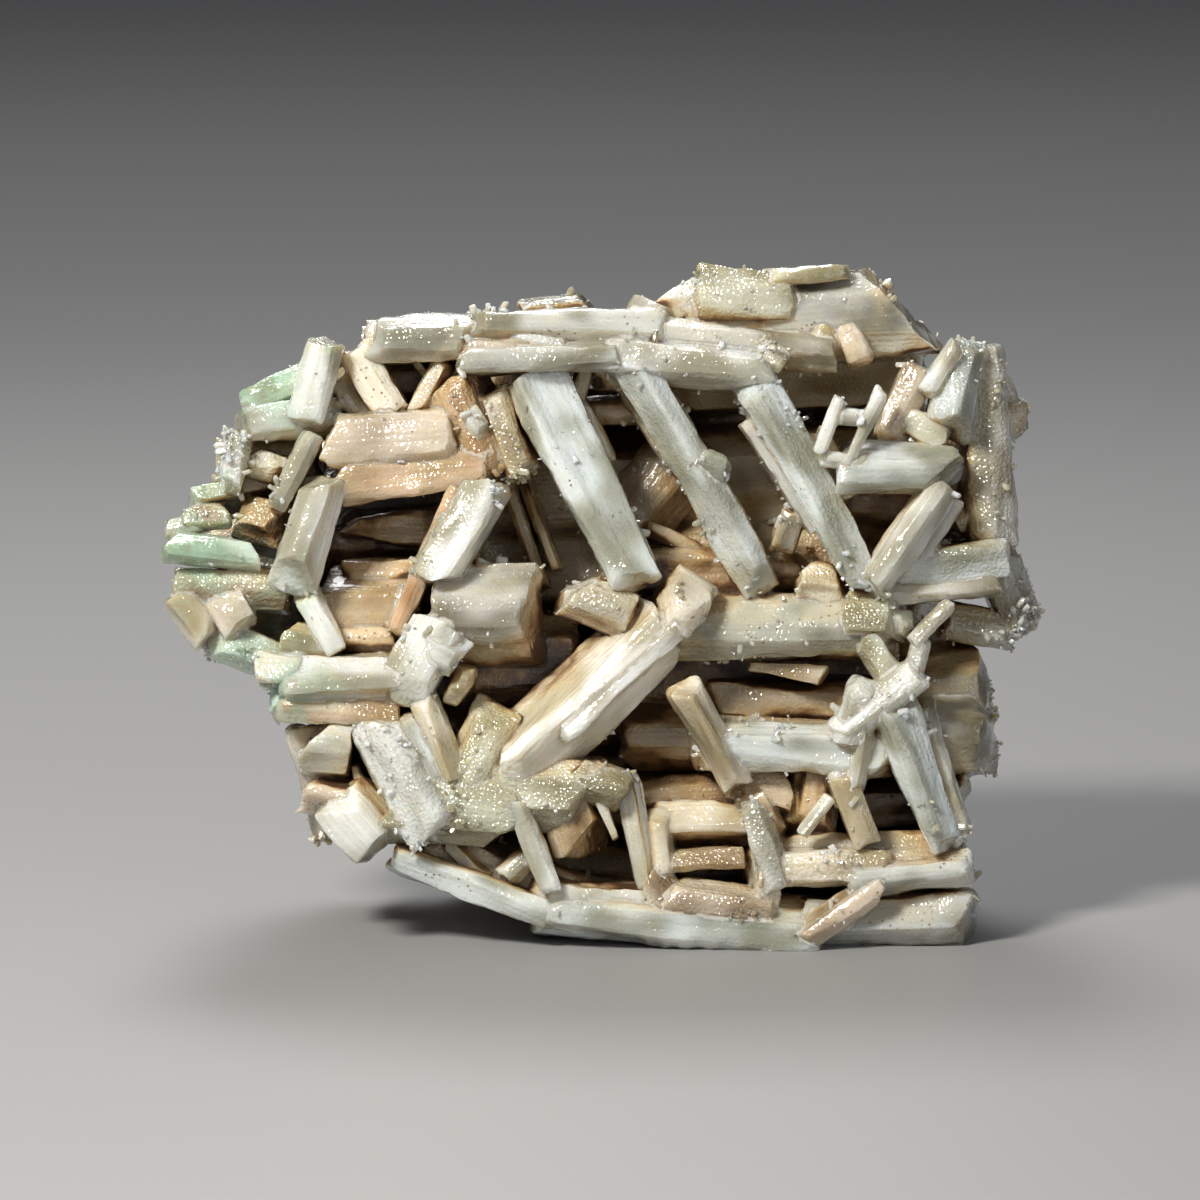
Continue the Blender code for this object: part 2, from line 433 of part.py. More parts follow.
def box_below_base():
    """What lies under the cut base, as a cutter."""
    bpy.ops.mesh.primitive_cube_add(size=1)
    cutter = bpy.context.object
    cutter.name = "below_base"
    cutter.data.transform(Matrix.Diagonal((0.2, 0.2, 0.05, 1)))
    cutter.data.transform(Matrix.Translation((0, 0, -0.025)))
    cutter.hide_render = True
    cutter.display_type = "WIRE"
    return cutter


def grow_lattice():
    """Joins every crystal into one solid and cuts it off flat at the base."""
    first, *others = list(CRYSTALS.objects)
    CRYSTALS.objects.unlink(first)
    SHOWN.objects.link(first)
    grown = first.modifiers.new("grown_together", "BOOLEAN")
    grown.operation = "UNION"
    grown.solver = "MANIFOLD"
    grown.operand_type = "COLLECTION"
    grown.collection = CRYSTALS
    base = first.modifiers.new("flat_base", "BOOLEAN")
    base.operation = "DIFFERENCE"
    base.solver = "MANIFOLD"
    base.object = box_below_base()
    mesh = evaluated_mesh(first, "cerussite_lattice")
    bpy.data.objects.remove(first)
    print("shells", keep_outer_shell(mesh), "faces", len(mesh.polygons))
    lattice = bpy.data.objects.new("cerussite_lattice", mesh)
    SHOWN.objects.link(lattice)
    return lattice


for leftover in list(bpy.data.objects):
    bpy.data.objects.remove(leftover)
SHOWN = new_collection("cerussite_specimen", True)
CRYSTALS = new_collection("crystals", False)
top_slabs()
right_flank()
middle_lattice()
lower_edge()
front_mass()
middle_left()
left_end()
back_lattice()
lattice = grow_lattice()
lattice.data.materials.clear()
lattice.data.materials.append(material("milky_cerussite", (0.72, 0.69, 0.6), 0.3))
box = np.array([lattice.matrix_world @ v.co for v in lattice.data.vertices])
print("lowest", box.min(0) * 1000, "highest", box.max(0) * 1000)
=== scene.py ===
"""The looks of a cerussite specimen: milky blades grown through one another, stained in the hollows."""

import json
import math
import zlib

import bmesh
import bpy
import numpy as np
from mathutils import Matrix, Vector

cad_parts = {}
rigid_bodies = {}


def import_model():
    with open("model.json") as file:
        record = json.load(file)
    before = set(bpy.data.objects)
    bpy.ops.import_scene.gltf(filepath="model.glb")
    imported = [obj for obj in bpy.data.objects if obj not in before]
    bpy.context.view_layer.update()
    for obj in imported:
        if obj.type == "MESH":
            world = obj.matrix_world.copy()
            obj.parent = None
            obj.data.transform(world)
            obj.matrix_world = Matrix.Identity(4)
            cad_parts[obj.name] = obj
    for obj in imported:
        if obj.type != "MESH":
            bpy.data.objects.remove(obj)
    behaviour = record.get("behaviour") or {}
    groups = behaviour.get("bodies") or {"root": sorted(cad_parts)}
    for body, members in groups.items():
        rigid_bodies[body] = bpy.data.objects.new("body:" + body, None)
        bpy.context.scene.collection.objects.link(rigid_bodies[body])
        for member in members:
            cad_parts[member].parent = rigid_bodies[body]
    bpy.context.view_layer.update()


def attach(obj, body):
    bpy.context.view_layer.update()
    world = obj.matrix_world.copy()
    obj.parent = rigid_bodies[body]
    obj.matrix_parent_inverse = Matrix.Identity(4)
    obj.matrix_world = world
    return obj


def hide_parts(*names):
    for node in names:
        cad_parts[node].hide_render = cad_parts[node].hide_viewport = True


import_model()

# The crystals. Cerussite is lead carbonate. It grew here as tabular blades in three directions
# 60 degrees apart, each a rounded box with growth ledges, worn corners and blunt ends.
# Places are read off the specimen's face: mm across, down and deep. The face leans back.

LEAN = math.radians(8.0)
FACE_LOW_POINT = np.array((60.24, 95.7, 0.0))
FACE_TO_MIDDLE = 26.53
FACE_AXES = np.array((
    (1, 0, 0),
    (0, math.sin(LEAN), math.cos(LEAN)),
    (0, math.cos(LEAN), -math.sin(LEAN)),
))
TONES = {
    "snow": "#F0EFEA",
    "milk": "#D4D6D0",
    "pearl": "#B2B5AE",
    "ice": "#BEC7C5",
    "slate": "#8F918A",
    # dusk, a dark grey-olive; on the three right slabs it is painted shade on crystals turned from the light
    "smoke": "#A6A296",
    "dusk": "#77725F",
    "cream": "#D6CAB0",
    "blush": "#BCA88F",
    "wax": "#B0AD8E",
    # olive, the middle slab's greenish-yellow grey, darkened as painted shade
    "olive": "#8C8C72",
    "tan": "#B8A180",
    "honey": "#B58D58",
    "amber": "#BE8A48",
    # umber, for crystals deep in the hollows: iron stain, darkened further as painted shade
    "umber": "#7A5429",
    "copper": "#B1C6B4",
}
MOST_AROUND = 110
SWELL = 1.12
SQUARENESS = 6.5


def linear(colour):
    """The linear light values of an sRGB hex colour."""
    parts = np.array([int(colour[k:k + 2], 16) for k in (1, 3, 5)]) / 255
    return np.where(parts <= 0.04045, parts / 12.92, ((parts + 0.055) / 1.055) ** 2.4)


def face_point(across, down, stain_and_shade_depth):
    """A point of the face grid in world mm: rotated back by the lean about the base's front edge."""
    grid = np.array((across - FACE_LOW_POINT[0], FACE_LOW_POINT[1] - down, stain_and_shade_depth))
    return FACE_AXES @ grid - (0, FACE_TO_MIDDLE, 0)


def cell_value(cells, seed):
    """A fixed value from 0 to 1 for each whole-numbered cell, from its three numbers multiplied and mixed."""
    mixed = cells[..., 0] * 374761393 + cells[..., 1] * 668265263 + cells[..., 2] * 2147483647 + seed * 144665
    mixed = (mixed ^ (mixed >> 13)) * 1274126177
    mixed = mixed ^ (mixed >> 16)
    return (mixed & 0xFFFFFF) / 0xFFFFFF


def noise(points, seed=0):
    """Smooth noise from -1 to 1: the values at a cell's eight corners, blended by 3t^2 - 2t^3."""
    low = np.floor(points).astype(np.int64)
    share = points - low
    share = share * share * (3 - 2 * share)
    total = np.zeros(points.shape[:-1])
    for corner in range(8):
        step = np.array((corner & 1, corner >> 1 & 1, corner >> 2 & 1))
        weight = np.where(step, share, 1 - share).prod(axis=-1)
        total += weight * cell_value(low + step, seed)
    return 2 * total - 1


def box_surface(width, thickness, length, tips, slants, grain):
    """A box with rounded edges on a grid of (ring, angle). Round each section a point lies where its ray
    meets |x/a|^n + |y/b|^n = 1. Over each end the ring's size falls as cos(t)^0.4 while it moves out by
    sin(t)^0.4. The section narrows evenly from one tip to the other, and a slant shears the end."""
    a, b = width / 2, thickness / 2
    around = int(np.clip(round(2 * (width + thickness) / grain), 16, MOST_AROUND))
    s = (np.arange(around) + 0.5) / around * 4 * (a + b)
    corners = np.cumsum((0, 2 * a, 2 * b, 2 * a, 2 * b))
    x = np.interp(s, corners, (-a, a, a, -a, -a))
    y = np.interp(s, corners, (-b, -b, b, b, -b))
    reach = ((np.abs(x) / a) ** SQUARENESS + (np.abs(y) / b) ** SQUARENESS) ** (-1 / SQUARENESS)
    x, y = x * reach, y * reach
    cap = min(a, b) * 0.4
    turns = np.linspace(math.radians(3), math.radians(89.0), max(5, int(min(a, b) / grain) + 3))
    out, size = np.sin(turns) ** 0.4, np.cos(turns) ** 0.4
    middle = np.linspace(-1, 1, max(3, int((length - 2 * cap) / grain)))[1:-1] * (length / 2 - cap)
    z = np.concatenate((-(length / 2 - cap) - cap * out[::-1], middle, length / 2 - cap + cap * out))
    ring = np.concatenate((size[::-1], np.ones(len(middle)), size))
    along = z / length + 0.5
    taper = tips[0] + (tips[1] - tips[0]) * along
    shape = np.empty((len(z), around, 3))
    shape[..., 0] = x * (ring * taper)[:, None]
    shape[..., 1] = y * (ring * taper)[:, None]
    lean = slants[0] * (1 - along) + slants[1] * along
    shape[..., 2] = z[:, None] + (lean * ring)[:, None] * x / width
    return shape


def outward(shape, middle):
    """Unit normals of a ring grid: the cross product of its two central differences, turned outwards."""
    around = np.roll(shape, -1, axis=1) - np.roll(shape, 1, axis=1)
    along = np.gradient(shape, axis=0)
    normal = np.cross(around, along)
    normal /= np.linalg.norm(normal, axis=-1, keepdims=True) + 1e-9
    turned = np.sign((normal * (shape - middle)).sum())
    return normal * (turned if turned else 1)


def cleaved(local, small, seed):
    """Flat breaks: each point beyond a plane goes back on to it along the plane's normal. Four planes
    shave the long edges, and two or three cross each end aslant."""
    rng = np.random.default_rng(seed)
    cuts = []
    for x, y in ((-1, -1), (-1, 1), (1, -1), (1, 1)):
        turn = rng.uniform(0.4, 1.15)
        normal = (x * math.cos(turn), y * math.sin(turn), rng.uniform(-0.07, 0.07))
        cuts.append((normal, rng.uniform(0.08, 0.3)))
    for end in (-1, 1):
        for _ in range(rng.integers(2, 4)):
            turn, tilt = rng.uniform(0, 2 * math.pi), rng.uniform(0.35, 0.95)
            normal = (math.sin(tilt) * math.cos(turn), math.sin(tilt) * math.sin(turn), end * math.cos(tilt))
            cuts.append((normal, rng.uniform(0.08, 0.3)))
    for normal, depth in cuts:
        normal = np.array(normal) / np.linalg.norm(normal)
        past = local @ normal
        past = past - past.max() + depth * small
        local = local - np.clip(past, 0, None)[..., None] * normal
    return local


def worn(shape, local, normal, size, seed):
    """The grid moved along its normals by slow waves, by ledges where noise passes whole steps, by fine
    roughness, and inwards by chips near the section's corners."""
    place = shape + seed % 97
    wave = 0.12 * noise(place * 0.26, 1) + 0.03 * noise(place * 0.8, 2)
    stretched = local * (0.5, 0.5, 0.14) + seed % 89
    steps = noise(stretched, 3) * 3.4 + 0.3 * noise(place * 0.8, 4)
    whole = np.floor(steps)
    rise = np.clip((steps - whole - 0.88) / 0.12, 0, 1)
    ledge = (whole + rise) * 0.13
    furrow = 0.03 * noise(local * (2.2, 2.2, 0.1) + seed % 83, 5)
    rough = 0.035 * noise(place * 1.9, 6)
    edge = (np.abs(local[..., 0]) / (size[0] / 2)) ** 4 * (np.abs(local[..., 1]) / (size[1] / 2)) ** 2
    end = np.clip(np.abs(local[..., 2]) / (size[2] / 2) - 0.86, 0, 0.14) / 0.14
    bites = np.clip(noise(place * 0.8, 8) * 2.2 - 0.4, 0, 1) * (0.8 * edge + 0.6 * end)
    chips = bites + 0.2 * end * noise(place * 1.6, 9) + 0.12 * edge * noise(place * 1.1, 10)
    scale = min(1.0, min(size[:2]) / 3.2)
    return normal * (scale * (wave + ledge + furrow + rough - chips))[..., None], edge


def ring_faces(rings, around, first=0):
    """Quads between rings, and a cap on each end."""
    grid = np.arange(rings * around).reshape(rings, around) + first
    nxt = np.roll(grid, -1, axis=1)
    quads = np.stack((grid[:-1], nxt[:-1], nxt[1:], grid[1:]), axis=-1).reshape(-1, 4)
    return quads, grid[:1, ::-1], grid[-1:]


def mesh_of(name, points, groups):
    """A closed mesh of face groups, each an array of corners. If the signed volume that the faces sweep
    from the middle is below zero they face inwards, and are all turned round."""
    from_middle = points - points.mean(axis=0)
    swept = 0.0
    for group in groups:
        for k in range(1, group.shape[1] - 1):
            second, third = from_middle[group[:, k]], from_middle[group[:, k + 1]]
            swept += (from_middle[group[:, 0]] * np.cross(second, third)).sum()
    if swept < 0:
        groups = [group[:, ::-1] for group in groups]
    counts = np.concatenate([np.full(len(group), group.shape[1]) for group in groups])
    corners = np.concatenate([group.ravel() for group in groups])
    made = bpy.data.meshes.new(name)
    made.vertices.add(len(points))
    made.vertices.foreach_set("co", (points / 1000).astype(np.float32).ravel())
    made.loops.add(len(corners))
    made.loops.foreach_set("vertex_index", corners.astype(np.int32))
    made.polygons.add(len(counts))
    made.polygons.foreach_set("loop_start", (np.cumsum(counts) - counts).astype(np.int32))
    made.update(calc_edges=True)
    return made


def write_values(made, name, kind, values):
    """An attribute on the mesh's points."""
    layer = made.attributes.new(name, kind, "POINT")
    field = {"FLOAT": "value", "FLOAT_VECTOR": "vector", "FLOAT_COLOR": "color"}[kind]
    layer.data.foreach_set(field, np.ascontiguousarray(values, np.float32).ravel())


GROWING = bpy.data.collections.new("growing")
bpy.context.scene.collection.children.link(GROWING)
GROWN = []


def crystal(name, start, end, width, thickness, tone, tips=(1, 1), slants=(0, 0), roll=0,
            druse=0.15, grain=0.42):
    """One crystal between two points of the face. Its width lies in the face unless it is rolled."""
    grid_along = np.subtract(end, start) * (1, -1, 1)
    grid_along = grid_along / np.linalg.norm(grid_along)
    grid_across = np.cross(grid_along, (0, 0, 1))
    grid_across /= np.linalg.norm(grid_across)
    grid_through = np.cross(grid_along, grid_across)
    turn = math.radians(roll)
    width, thickness = width * SWELL, thickness * SWELL
    a, b = face_point(*start), face_point(*end)
    across = FACE_AXES @ (grid_across * math.cos(turn) + grid_through * math.sin(turn))
    through = FACE_AXES @ (grid_through * math.cos(turn) - grid_across * math.sin(turn))
    along, length = (b - a) / np.linalg.norm(b - a), np.linalg.norm(b - a)
    seed = zlib.crc32(name.encode())
    local = box_surface(width, thickness, length, tips, slants, grain)
    local = cleaved(local, min(width, thickness), seed)
    shape = local @ np.stack((across, through, along)) + (a + b) / 2
    normal = outward(shape, (a + b) / 2)
    moved, edge = worn(shape, local, normal, (width, thickness, length), seed)
    shape = shape + moved
    made = mesh_of(name, shape.reshape(-1, 3), ring_faces(*shape.shape[:2]))
    count = shape.shape[0] * shape.shape[1]
    colour = linear(TONES[tone]) * (0.86 + 0.22 * (seed % 101) / 100)
    whiter = (0.4 * np.clip(edge, 0, 1)).reshape(-1, 1)
    colour = colour * (1 - whiter) + linear("#F0EEE6") * whiter
    write_values(made, "tone", "FLOAT_COLOR", np.hstack((colour, np.ones((count, 1)))))
    write_values(made, "growth", "FLOAT_VECTOR", (local + (seed % 61, seed % 53, seed % 47)).reshape(-1, 3))
    write_values(made, "druse", "FLOAT", np.full(count, druse))
    # Crystals near the front get less of the hollow's stain and painted shade.
    nearness = min(1.0, max(0.0, (10 - (start[2] + end[2]) / 2) / 6))
    write_values(made, "spared_stain_shade", "FLOAT", np.full(count, 0.34 * nearness))
    item = bpy.data.objects.new(name, made)
    GROWING.objects.link(item)
    size = np.array((width, thickness, length))
    GROWN.append(((a + b) / 2, np.stack((across, through, along)), size))
    return item


def values_of(items, field, kind, width=1):
    """A field of all the items as one array."""
    found = np.empty(len(items) * width, kind)
    items.foreach_get(field, found)
    return found.reshape(-1, width) if width > 1 else found


def without_voids(made):
    """Drops each sealed inner void: points are grouped along shared edges, the group's triangles give its
    signed volume, and a group below zero faces a void."""
    ends = values_of(made.edges, "vertices", np.int32, 2)
    group = np.arange(len(made.vertices))
    before = None
    while before is None or (group != before).any():
        before = group.copy()
        least = np.minimum(group[ends[:, 0]], group[ends[:, 1]])
        np.minimum.at(group, ends[:, 0], least)
        np.minimum.at(group, ends[:, 1], least)
        group = group[group]
    made.calc_loop_triangles()
    place = values_of(made.vertices, "co", np.float32, 3).astype(float)
    corner = values_of(made.loop_triangles, "vertices", np.int32, 3)
    a, b, c = (place[corner[:, k]] for k in range(3))
    swept = np.bincount(group[corner[:, 0]], (a * np.cross(b, c)).sum(axis=1), len(group))
    inside = np.flatnonzero(swept[group] < 0)
    if len(inside):
        shape = bmesh.new()
        shape.from_mesh(made)
        shape.verts.ensure_lookup_table()
        bmesh.ops.delete(shape, geom=[shape.verts[k] for k in inside], context="VERTS")
        shape.to_mesh(made)
        shape.free()


def healed(made):
    """Fillets the joints: where a point's neighbours stand, on average, outside its surface the joint is
    hollow, and there each point goes part of the way to its neighbours' mean, over and over."""
    ends = values_of(made.edges, "vertices", np.int32, 2)
    place = values_of(made.vertices, "co", np.float32, 3).astype(float) * 1000
    normal = values_of(made.vertex_normals, "vector", np.float32, 3).astype(float)
    first, second = np.concatenate((ends[:, 0], ends[:, 1])), np.concatenate((ends[:, 1], ends[:, 0]))
    around = np.maximum(np.bincount(first, minlength=len(place)), 1)

    def mean_of_near(values):
        sums = [np.bincount(first, values[second, k], len(place)) for k in range(values.shape[1])]
        return np.stack(sums, axis=1) / around[:, None]

    hollow = np.clip(((mean_of_near(place) - place) * normal).sum(axis=1, keepdims=True) * 9 - 0.35, 0, 1)
    write_values(made, "joint", "FLOAT", hollow)
    for _ in range(4):
        hollow = np.maximum(hollow, 1.4 * mean_of_near(hollow)).clip(0, 1)
    for _ in range(12):
        place = place + (mean_of_near(place) - place) * hollow * 0.6
    place[:, 2] = np.maximum(place[:, 2], 0)
    made.vertices.foreach_set("co", (place / 1000).astype(np.float32).ravel())
    made.update()


def grown_together(name):
    """The crystals made since the last piece, joined by a union into one solid and cut flat at the base."""
    items = list(GROWING.objects)
    first = items[0]
    GROWING.objects.unlink(first)
    bpy.context.scene.collection.objects.link(first)
    join = first.modifiers.new("grown_together", "BOOLEAN")
    join.operation = "UNION"
    join.solver = "MANIFOLD"
    join.operand_type = "COLLECTION"
    join.collection = GROWING
    cut = first.modifiers.new("flat_base", "BOOLEAN")
    cut.operation = "DIFFERENCE"
    cut.solver = "MANIFOLD"
    cut.object = UNDER_BASE
    graph = bpy.context.evaluated_depsgraph_get()
    made = bpy.data.meshes.new_from_object(first.evaluated_get(graph), depsgraph=graph)
    for item in items:
        old = item.data
        bpy.data.objects.remove(item)
        bpy.data.meshes.remove(old)
    made.name = name
    without_voids(made)
    healed(made)
    piece = bpy.data.objects.new(name, made)
    bpy.context.scene.collection.objects.link(piece)
    return piece


def node(tree, kind, inputs=None, **settings):
    """Adds a node, sets it, and gives its inputs numbers, colours or links."""
    made = tree.nodes.new("ShaderNode" + kind)
    for key, value in settings.items():
        setattr(made, key, value)
    for key, value in (inputs or {}).items():
        if isinstance(value, bpy.types.NodeSocket):
            tree.links.new(value, made.inputs[key])
        else:
            made.inputs[key].default_value = value
    return made


def ramp(tree, fac, low, high, start=0.0, end=1.0):
    """A value brought smoothly from one range to another."""
    inputs = {0: fac, 1: low, 2: high, 3: start, 4: end}
    return node(tree, "MapRange", inputs, interpolation_type="SMOOTHSTEP").outputs[0]


def blend(tree, fac, first, second, kind="MIX"):
    """Two colours mixed by a share."""
    made = node(tree, "Mix", {0: fac, 6: first, 7: second}, data_type="RGBA", blend_type=kind)
    return made.outputs[2]


def hexed(colour):
    """An sRGB hex colour as linear RGBA."""
    return (*linear(colour), 1.0)


def cerussite(name, grain_bump, coat):
    """Milky cerussite, as it grew: waxy to glassy, and lit from inside where it is thick. Its real index
    is near 2, and 1.75 keeps the glare down. Frosty clouds and fine fibres run along each crystal, and
    the hollows darken with iron stain and with painted shade, most where crystal closes round them."""
    made = bpy.data.materials.new(name)
    made.use_nodes = True
    tree = made.node_tree
    shader = tree.nodes["Principled BSDF"]
    place = node(tree, "TexCoord").outputs["Object"]
    mm = node(tree, "VectorMath", {0: place, 3: 1000.0}, operation="SCALE").outputs[0]
    growth = node(tree, "Attribute", attribute_name="growth").outputs["Vector"]
    tone = node(tree, "Attribute", attribute_name="tone").outputs["Color"]
    hollow = node(tree, "Attribute", attribute_name="hollow").outputs["Fac"]
    druse = node(tree, "Attribute", attribute_name="druse").outputs["Fac"]
    copper = node(tree, "Attribute", attribute_name="copper").outputs["Fac"]
    rust = node(tree, "Attribute", attribute_name="rust").outputs["Fac"]

    # frosty clouds some 5 mm across and half as long again, and fibres 0.4 mm wide along the growth
    drawn = node(tree, "VectorMath", {0: growth, 1: (0.2, 0.2, 0.13)}, operation="MULTIPLY").outputs[0]
    cloud = node(tree, "TexNoise", {"Vector": drawn, "Scale": 1.0, "Detail": 1.0}).outputs[0]
    along = node(tree, "VectorMath", {0: growth, 1: (2.4, 2.4, 0.09)}, operation="MULTIPLY").outputs[0]
    fibre = node(tree, "TexNoise", {"Vector": along, "Scale": 1.0, "Detail": 0.0}).outputs[0]
    clear = blend(tree, 1.0, tone, hexed("#B9B4A2"), "MULTIPLY")
    frost = blend(tree, 0.26, tone, hexed("#EFF3F2"))
    colour = blend(tree, ramp(tree, cloud, 0.34, 0.64), clear, frost)
    colour = blend(tree, ramp(tree, fibre, 0.3, 0.6, 0.13, 0.0), colour, hexed("#8E8B7C"))

    # iron stain and painted shade in the hollows: a warm tinge first, honey brown deeper in, and umber
    # in the narrowest hollows, where the darkest steps are painted shade
    drift = node(tree, "TexNoise", {"Vector": mm, "Scale": 0.42, "Detail": 2.0, "Roughness": 0.6}).outputs[0]
    uneven = node(tree, "Math", {0: drift, 1: 0.7, 2: hollow}, operation="MULTIPLY_ADD").outputs[0]
    # hollow enclosure drives painted shade here, and rust adds the real iron stain
    stain_and_shade_depth = node(tree, "Math", {0: uneven, 1: rust}, operation="ADD").outputs[0]
    colour = blend(tree, ramp(tree, stain_and_shade_depth, 0.35, 0.85, 0.0, 0.35), colour, hexed("#D3C6A3"))
    colour = blend(tree, ramp(tree, stain_and_shade_depth, 0.76, 1.12, 0.0, 0.55), colour, hexed("#BFA472"))
    colour = blend(tree, ramp(tree, stain_and_shade_depth, 1.02, 1.32, 0.0, 0.8), colour, hexed("#8C6432"))
    colour = blend(tree, ramp(tree, stain_and_shade_depth, 1.2, 1.46, 0.0, 0.9), colour, hexed("#41260D"))

    # rust grains under half a millimetre, in scattered swarms
    grains = node(tree, "TexVoronoi", {"Vector": mm, "Scale": 1.5}).outputs["Distance"]
    swarm = node(tree, "Math", {0: rust, 1: 0.2, 2: cloud}, operation="MULTIPLY_ADD").outputs[0]
    dot, swarm = ramp(tree, grains, 0.14, 0.26, 1.0, 0.0), ramp(tree, swarm, 0.61, 0.72)
    speck = node(tree, "Math", {0: dot, 1: swarm}, operation="MULTIPLY").outputs[0]
    colour = blend(tree, node(tree, "Math", {0: speck, 1: 0.75}, operation="MULTIPLY").outputs[0],
                   colour, hexed("#6B4220"))

    # copper salts tint the left end blue-green, strongest in patches
    patch = ramp(tree, drift, 0.36, 0.6, 0.1, 0.75)
    green = node(tree, "Math", {0: copper, 1: patch}, operation="MULTIPLY").outputs[0]
    colour = blend(tree, green, colour, hexed("#9CC0AC"))

    # surface: glassy on clear faces, duller where the stain and painted shade are strongest
    rough = ramp(tree, drift, 0.3, 0.7, 0.08, 0.24)
    dull = ramp(tree, stain_and_shade_depth, 0.8, 1.3, 0.0, 0.25)
    rough = node(tree, "Math", {0: dull, 1: rough}, operation="ADD").outputs[0]

    # relief in mm: druse grains 0.35 mm across, growth striae 0.4 mm apart, and fine etching
    cells = node(tree, "TexVoronoi", {"Vector": mm, "Scale": 2.9}).outputs["Distance"]
    amount = node(tree, "Math", {0: druse, 1: grain_bump, 2: 0.035}, operation="MULTIPLY_ADD").outputs[0]
    knobs = node(tree, "Math", {0: cells, 1: amount}, operation="MULTIPLY").outputs[0]
    fine = node(tree, "TexNoise", {"Vector": mm, "Scale": 2.8, "Detail": 1.0, "Roughness": 0.7}).outputs[0]
    etched = node(tree, "Math", {0: fine, 1: 0.11, 2: knobs}, operation="MULTIPLY_ADD").outputs[0]
    relief = node(tree, "Math", {0: fibre, 1: 0.13, 2: etched}, operation="MULTIPLY_ADD").outputs[0]
    top = node(tree, "Bump", {"Height": relief, "Strength": 0.8, "Distance": 0.001}).outputs[0]
    for key, value in (("Base Color", colour), ("Roughness", rough), ("Normal", top)):
        tree.links.new(value, shader.inputs[key])
    shader.inputs["IOR"].default_value = 1.75
    shader.inputs["Subsurface Weight"].default_value = 0.7
    shader.inputs["Subsurface Radius"].default_value = (1.0, 0.78, 0.52)
    shader.inputs["Subsurface Scale"].default_value = 0.0032
    shader.inputs["Coat Weight"].default_value = coat
    shader.inputs["Coat Roughness"].default_value = 0.08
    return made


MILKY = cerussite("milky_cerussite_with_painted_shade", 0.15, 0.5)
PIECES = []


def dressed(piece, material):
    """The piece takes its material, soft shading with crisp edges, and its place in the part."""
    piece.data.materials.clear()
    piece.data.materials.append(material)
    piece.data.polygons.foreach_set("material_index", np.zeros(len(piece.data.polygons), np.int32))
    piece.data.shade_smooth()
    piece.data.set_sharp_from_angle(angle=math.radians(27))
    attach(piece, "root")
    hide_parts("cerussite_lattice")
    PIECES.append(piece)
    return piece


def box_under_base():
    """What lies below the cut base, as a cutter."""
    corners = np.array([(x, y, z) for z in (-50, 0) for y in (-90, 90) for x in (-90, 90)], float)
    quads = np.array([(0, 2, 3, 1), (4, 5, 7, 6), (0, 1, 5, 4), (2, 6, 7, 3), (0, 4, 6, 2), (1, 3, 7, 5)])
    item = bpy.data.objects.new("under_base", mesh_of("under_base", corners, [quads]))
    bpy.context.scene.collection.objects.link(item)
    return item


UNDER_BASE = box_under_base()

# The upper edge: long level slabs of bluish cerussite and the cream lumps grown on them.

crystal("top_left_slab", (36.8, 34.0, 10), (49.0, 33.6, 10), 4.2, 10, "pearl", slants=(-2.4, 0))
crystal("top_left_backing", (36.0, 33.4, 15), (50.0, 33.6, 15), 3.4, 8, "smoke")
crystal("top_long_slab", (46.4, 32.6, 9), (67.0, 32.8, 11), 3.6, 11, "pearl", tips=(0.85, 1))
crystal("top_second_slab", (45.6, 35.2, 8.5), (61.0, 35.4, 9), 2.8, 9, "blush")
crystal("top_third_slab", (45.4, 36.2, 7), (62.0, 35.6, 7.5), 2.6, 9, "pearl", slants=(0.6, 0))
crystal("top_bright_wedge", (50.5, 33.4, 6), (57.0, 34.6, 5), 1.6, 4, "milk", tips=(0.5, 0.8), druse=1.0)
crystal("grey_crossing", (65.6, 31.4, 11), (60.8, 38.0, 7), 5.0, 8, "smoke")
crystal("upper_beam", (60.5, 35.9, 8.5), (77.5, 37.2, 8), 3.7, 9, "milk")
crystal("silver_plate", (65.8, 31.4, 12.5), (71.5, 28.6, 12.5), 3.8, 6, "ice", tips=(0.6, 1))
crystal("big_top_slab", (68.0, 32.8, 16), (92.8, 30.6, 15), 8.2, 11, "slate", slants=(-1.5, 4.4))
crystal("top_cream_lump", (69.5, 29.0, 12), (80.5, 29.8, 11.5), 6.0, 8, "wax", tips=(0.9, 0.7), druse=0.6)
crystal("top_yellow_bar", (76.5, 27.6, 10), (85.4, 26.9, 10.5), 2.3, 5, "wax", tips=(0.8, 0.7))
crystal("top_tan_stub", (84.4, 32.2, 8.5), (86.4, 36.6, 9), 2.8, 5, "tan", tips=(0.6, 0.9))
crystal("top_pale_stub", (82.0, 32.4, 9), (84.0, 35.6, 9), 2.6, 4, "cream", tips=(0.7, 1))
crystal("top_back_ridge", (69.0, 30.3, 22), (90.0, 30.6, 22), 5.5, 12, "smoke")
crystal("top_brown_lump", (51.6, 30.9, 13), (59.4, 30.2, 13), 2.8, 6, "dusk", tips=(0.7, 0.85), druse=1.0)
crystal("upper_web", (66.0, 33.6, 10.5), (84.0, 35.4, 10.5), 3.6, 8, "smoke")
dressed(grown_together("upper_slabs"), MILKY)

# The right end: blocky grey crystals, turned from the light, that close the lattice.

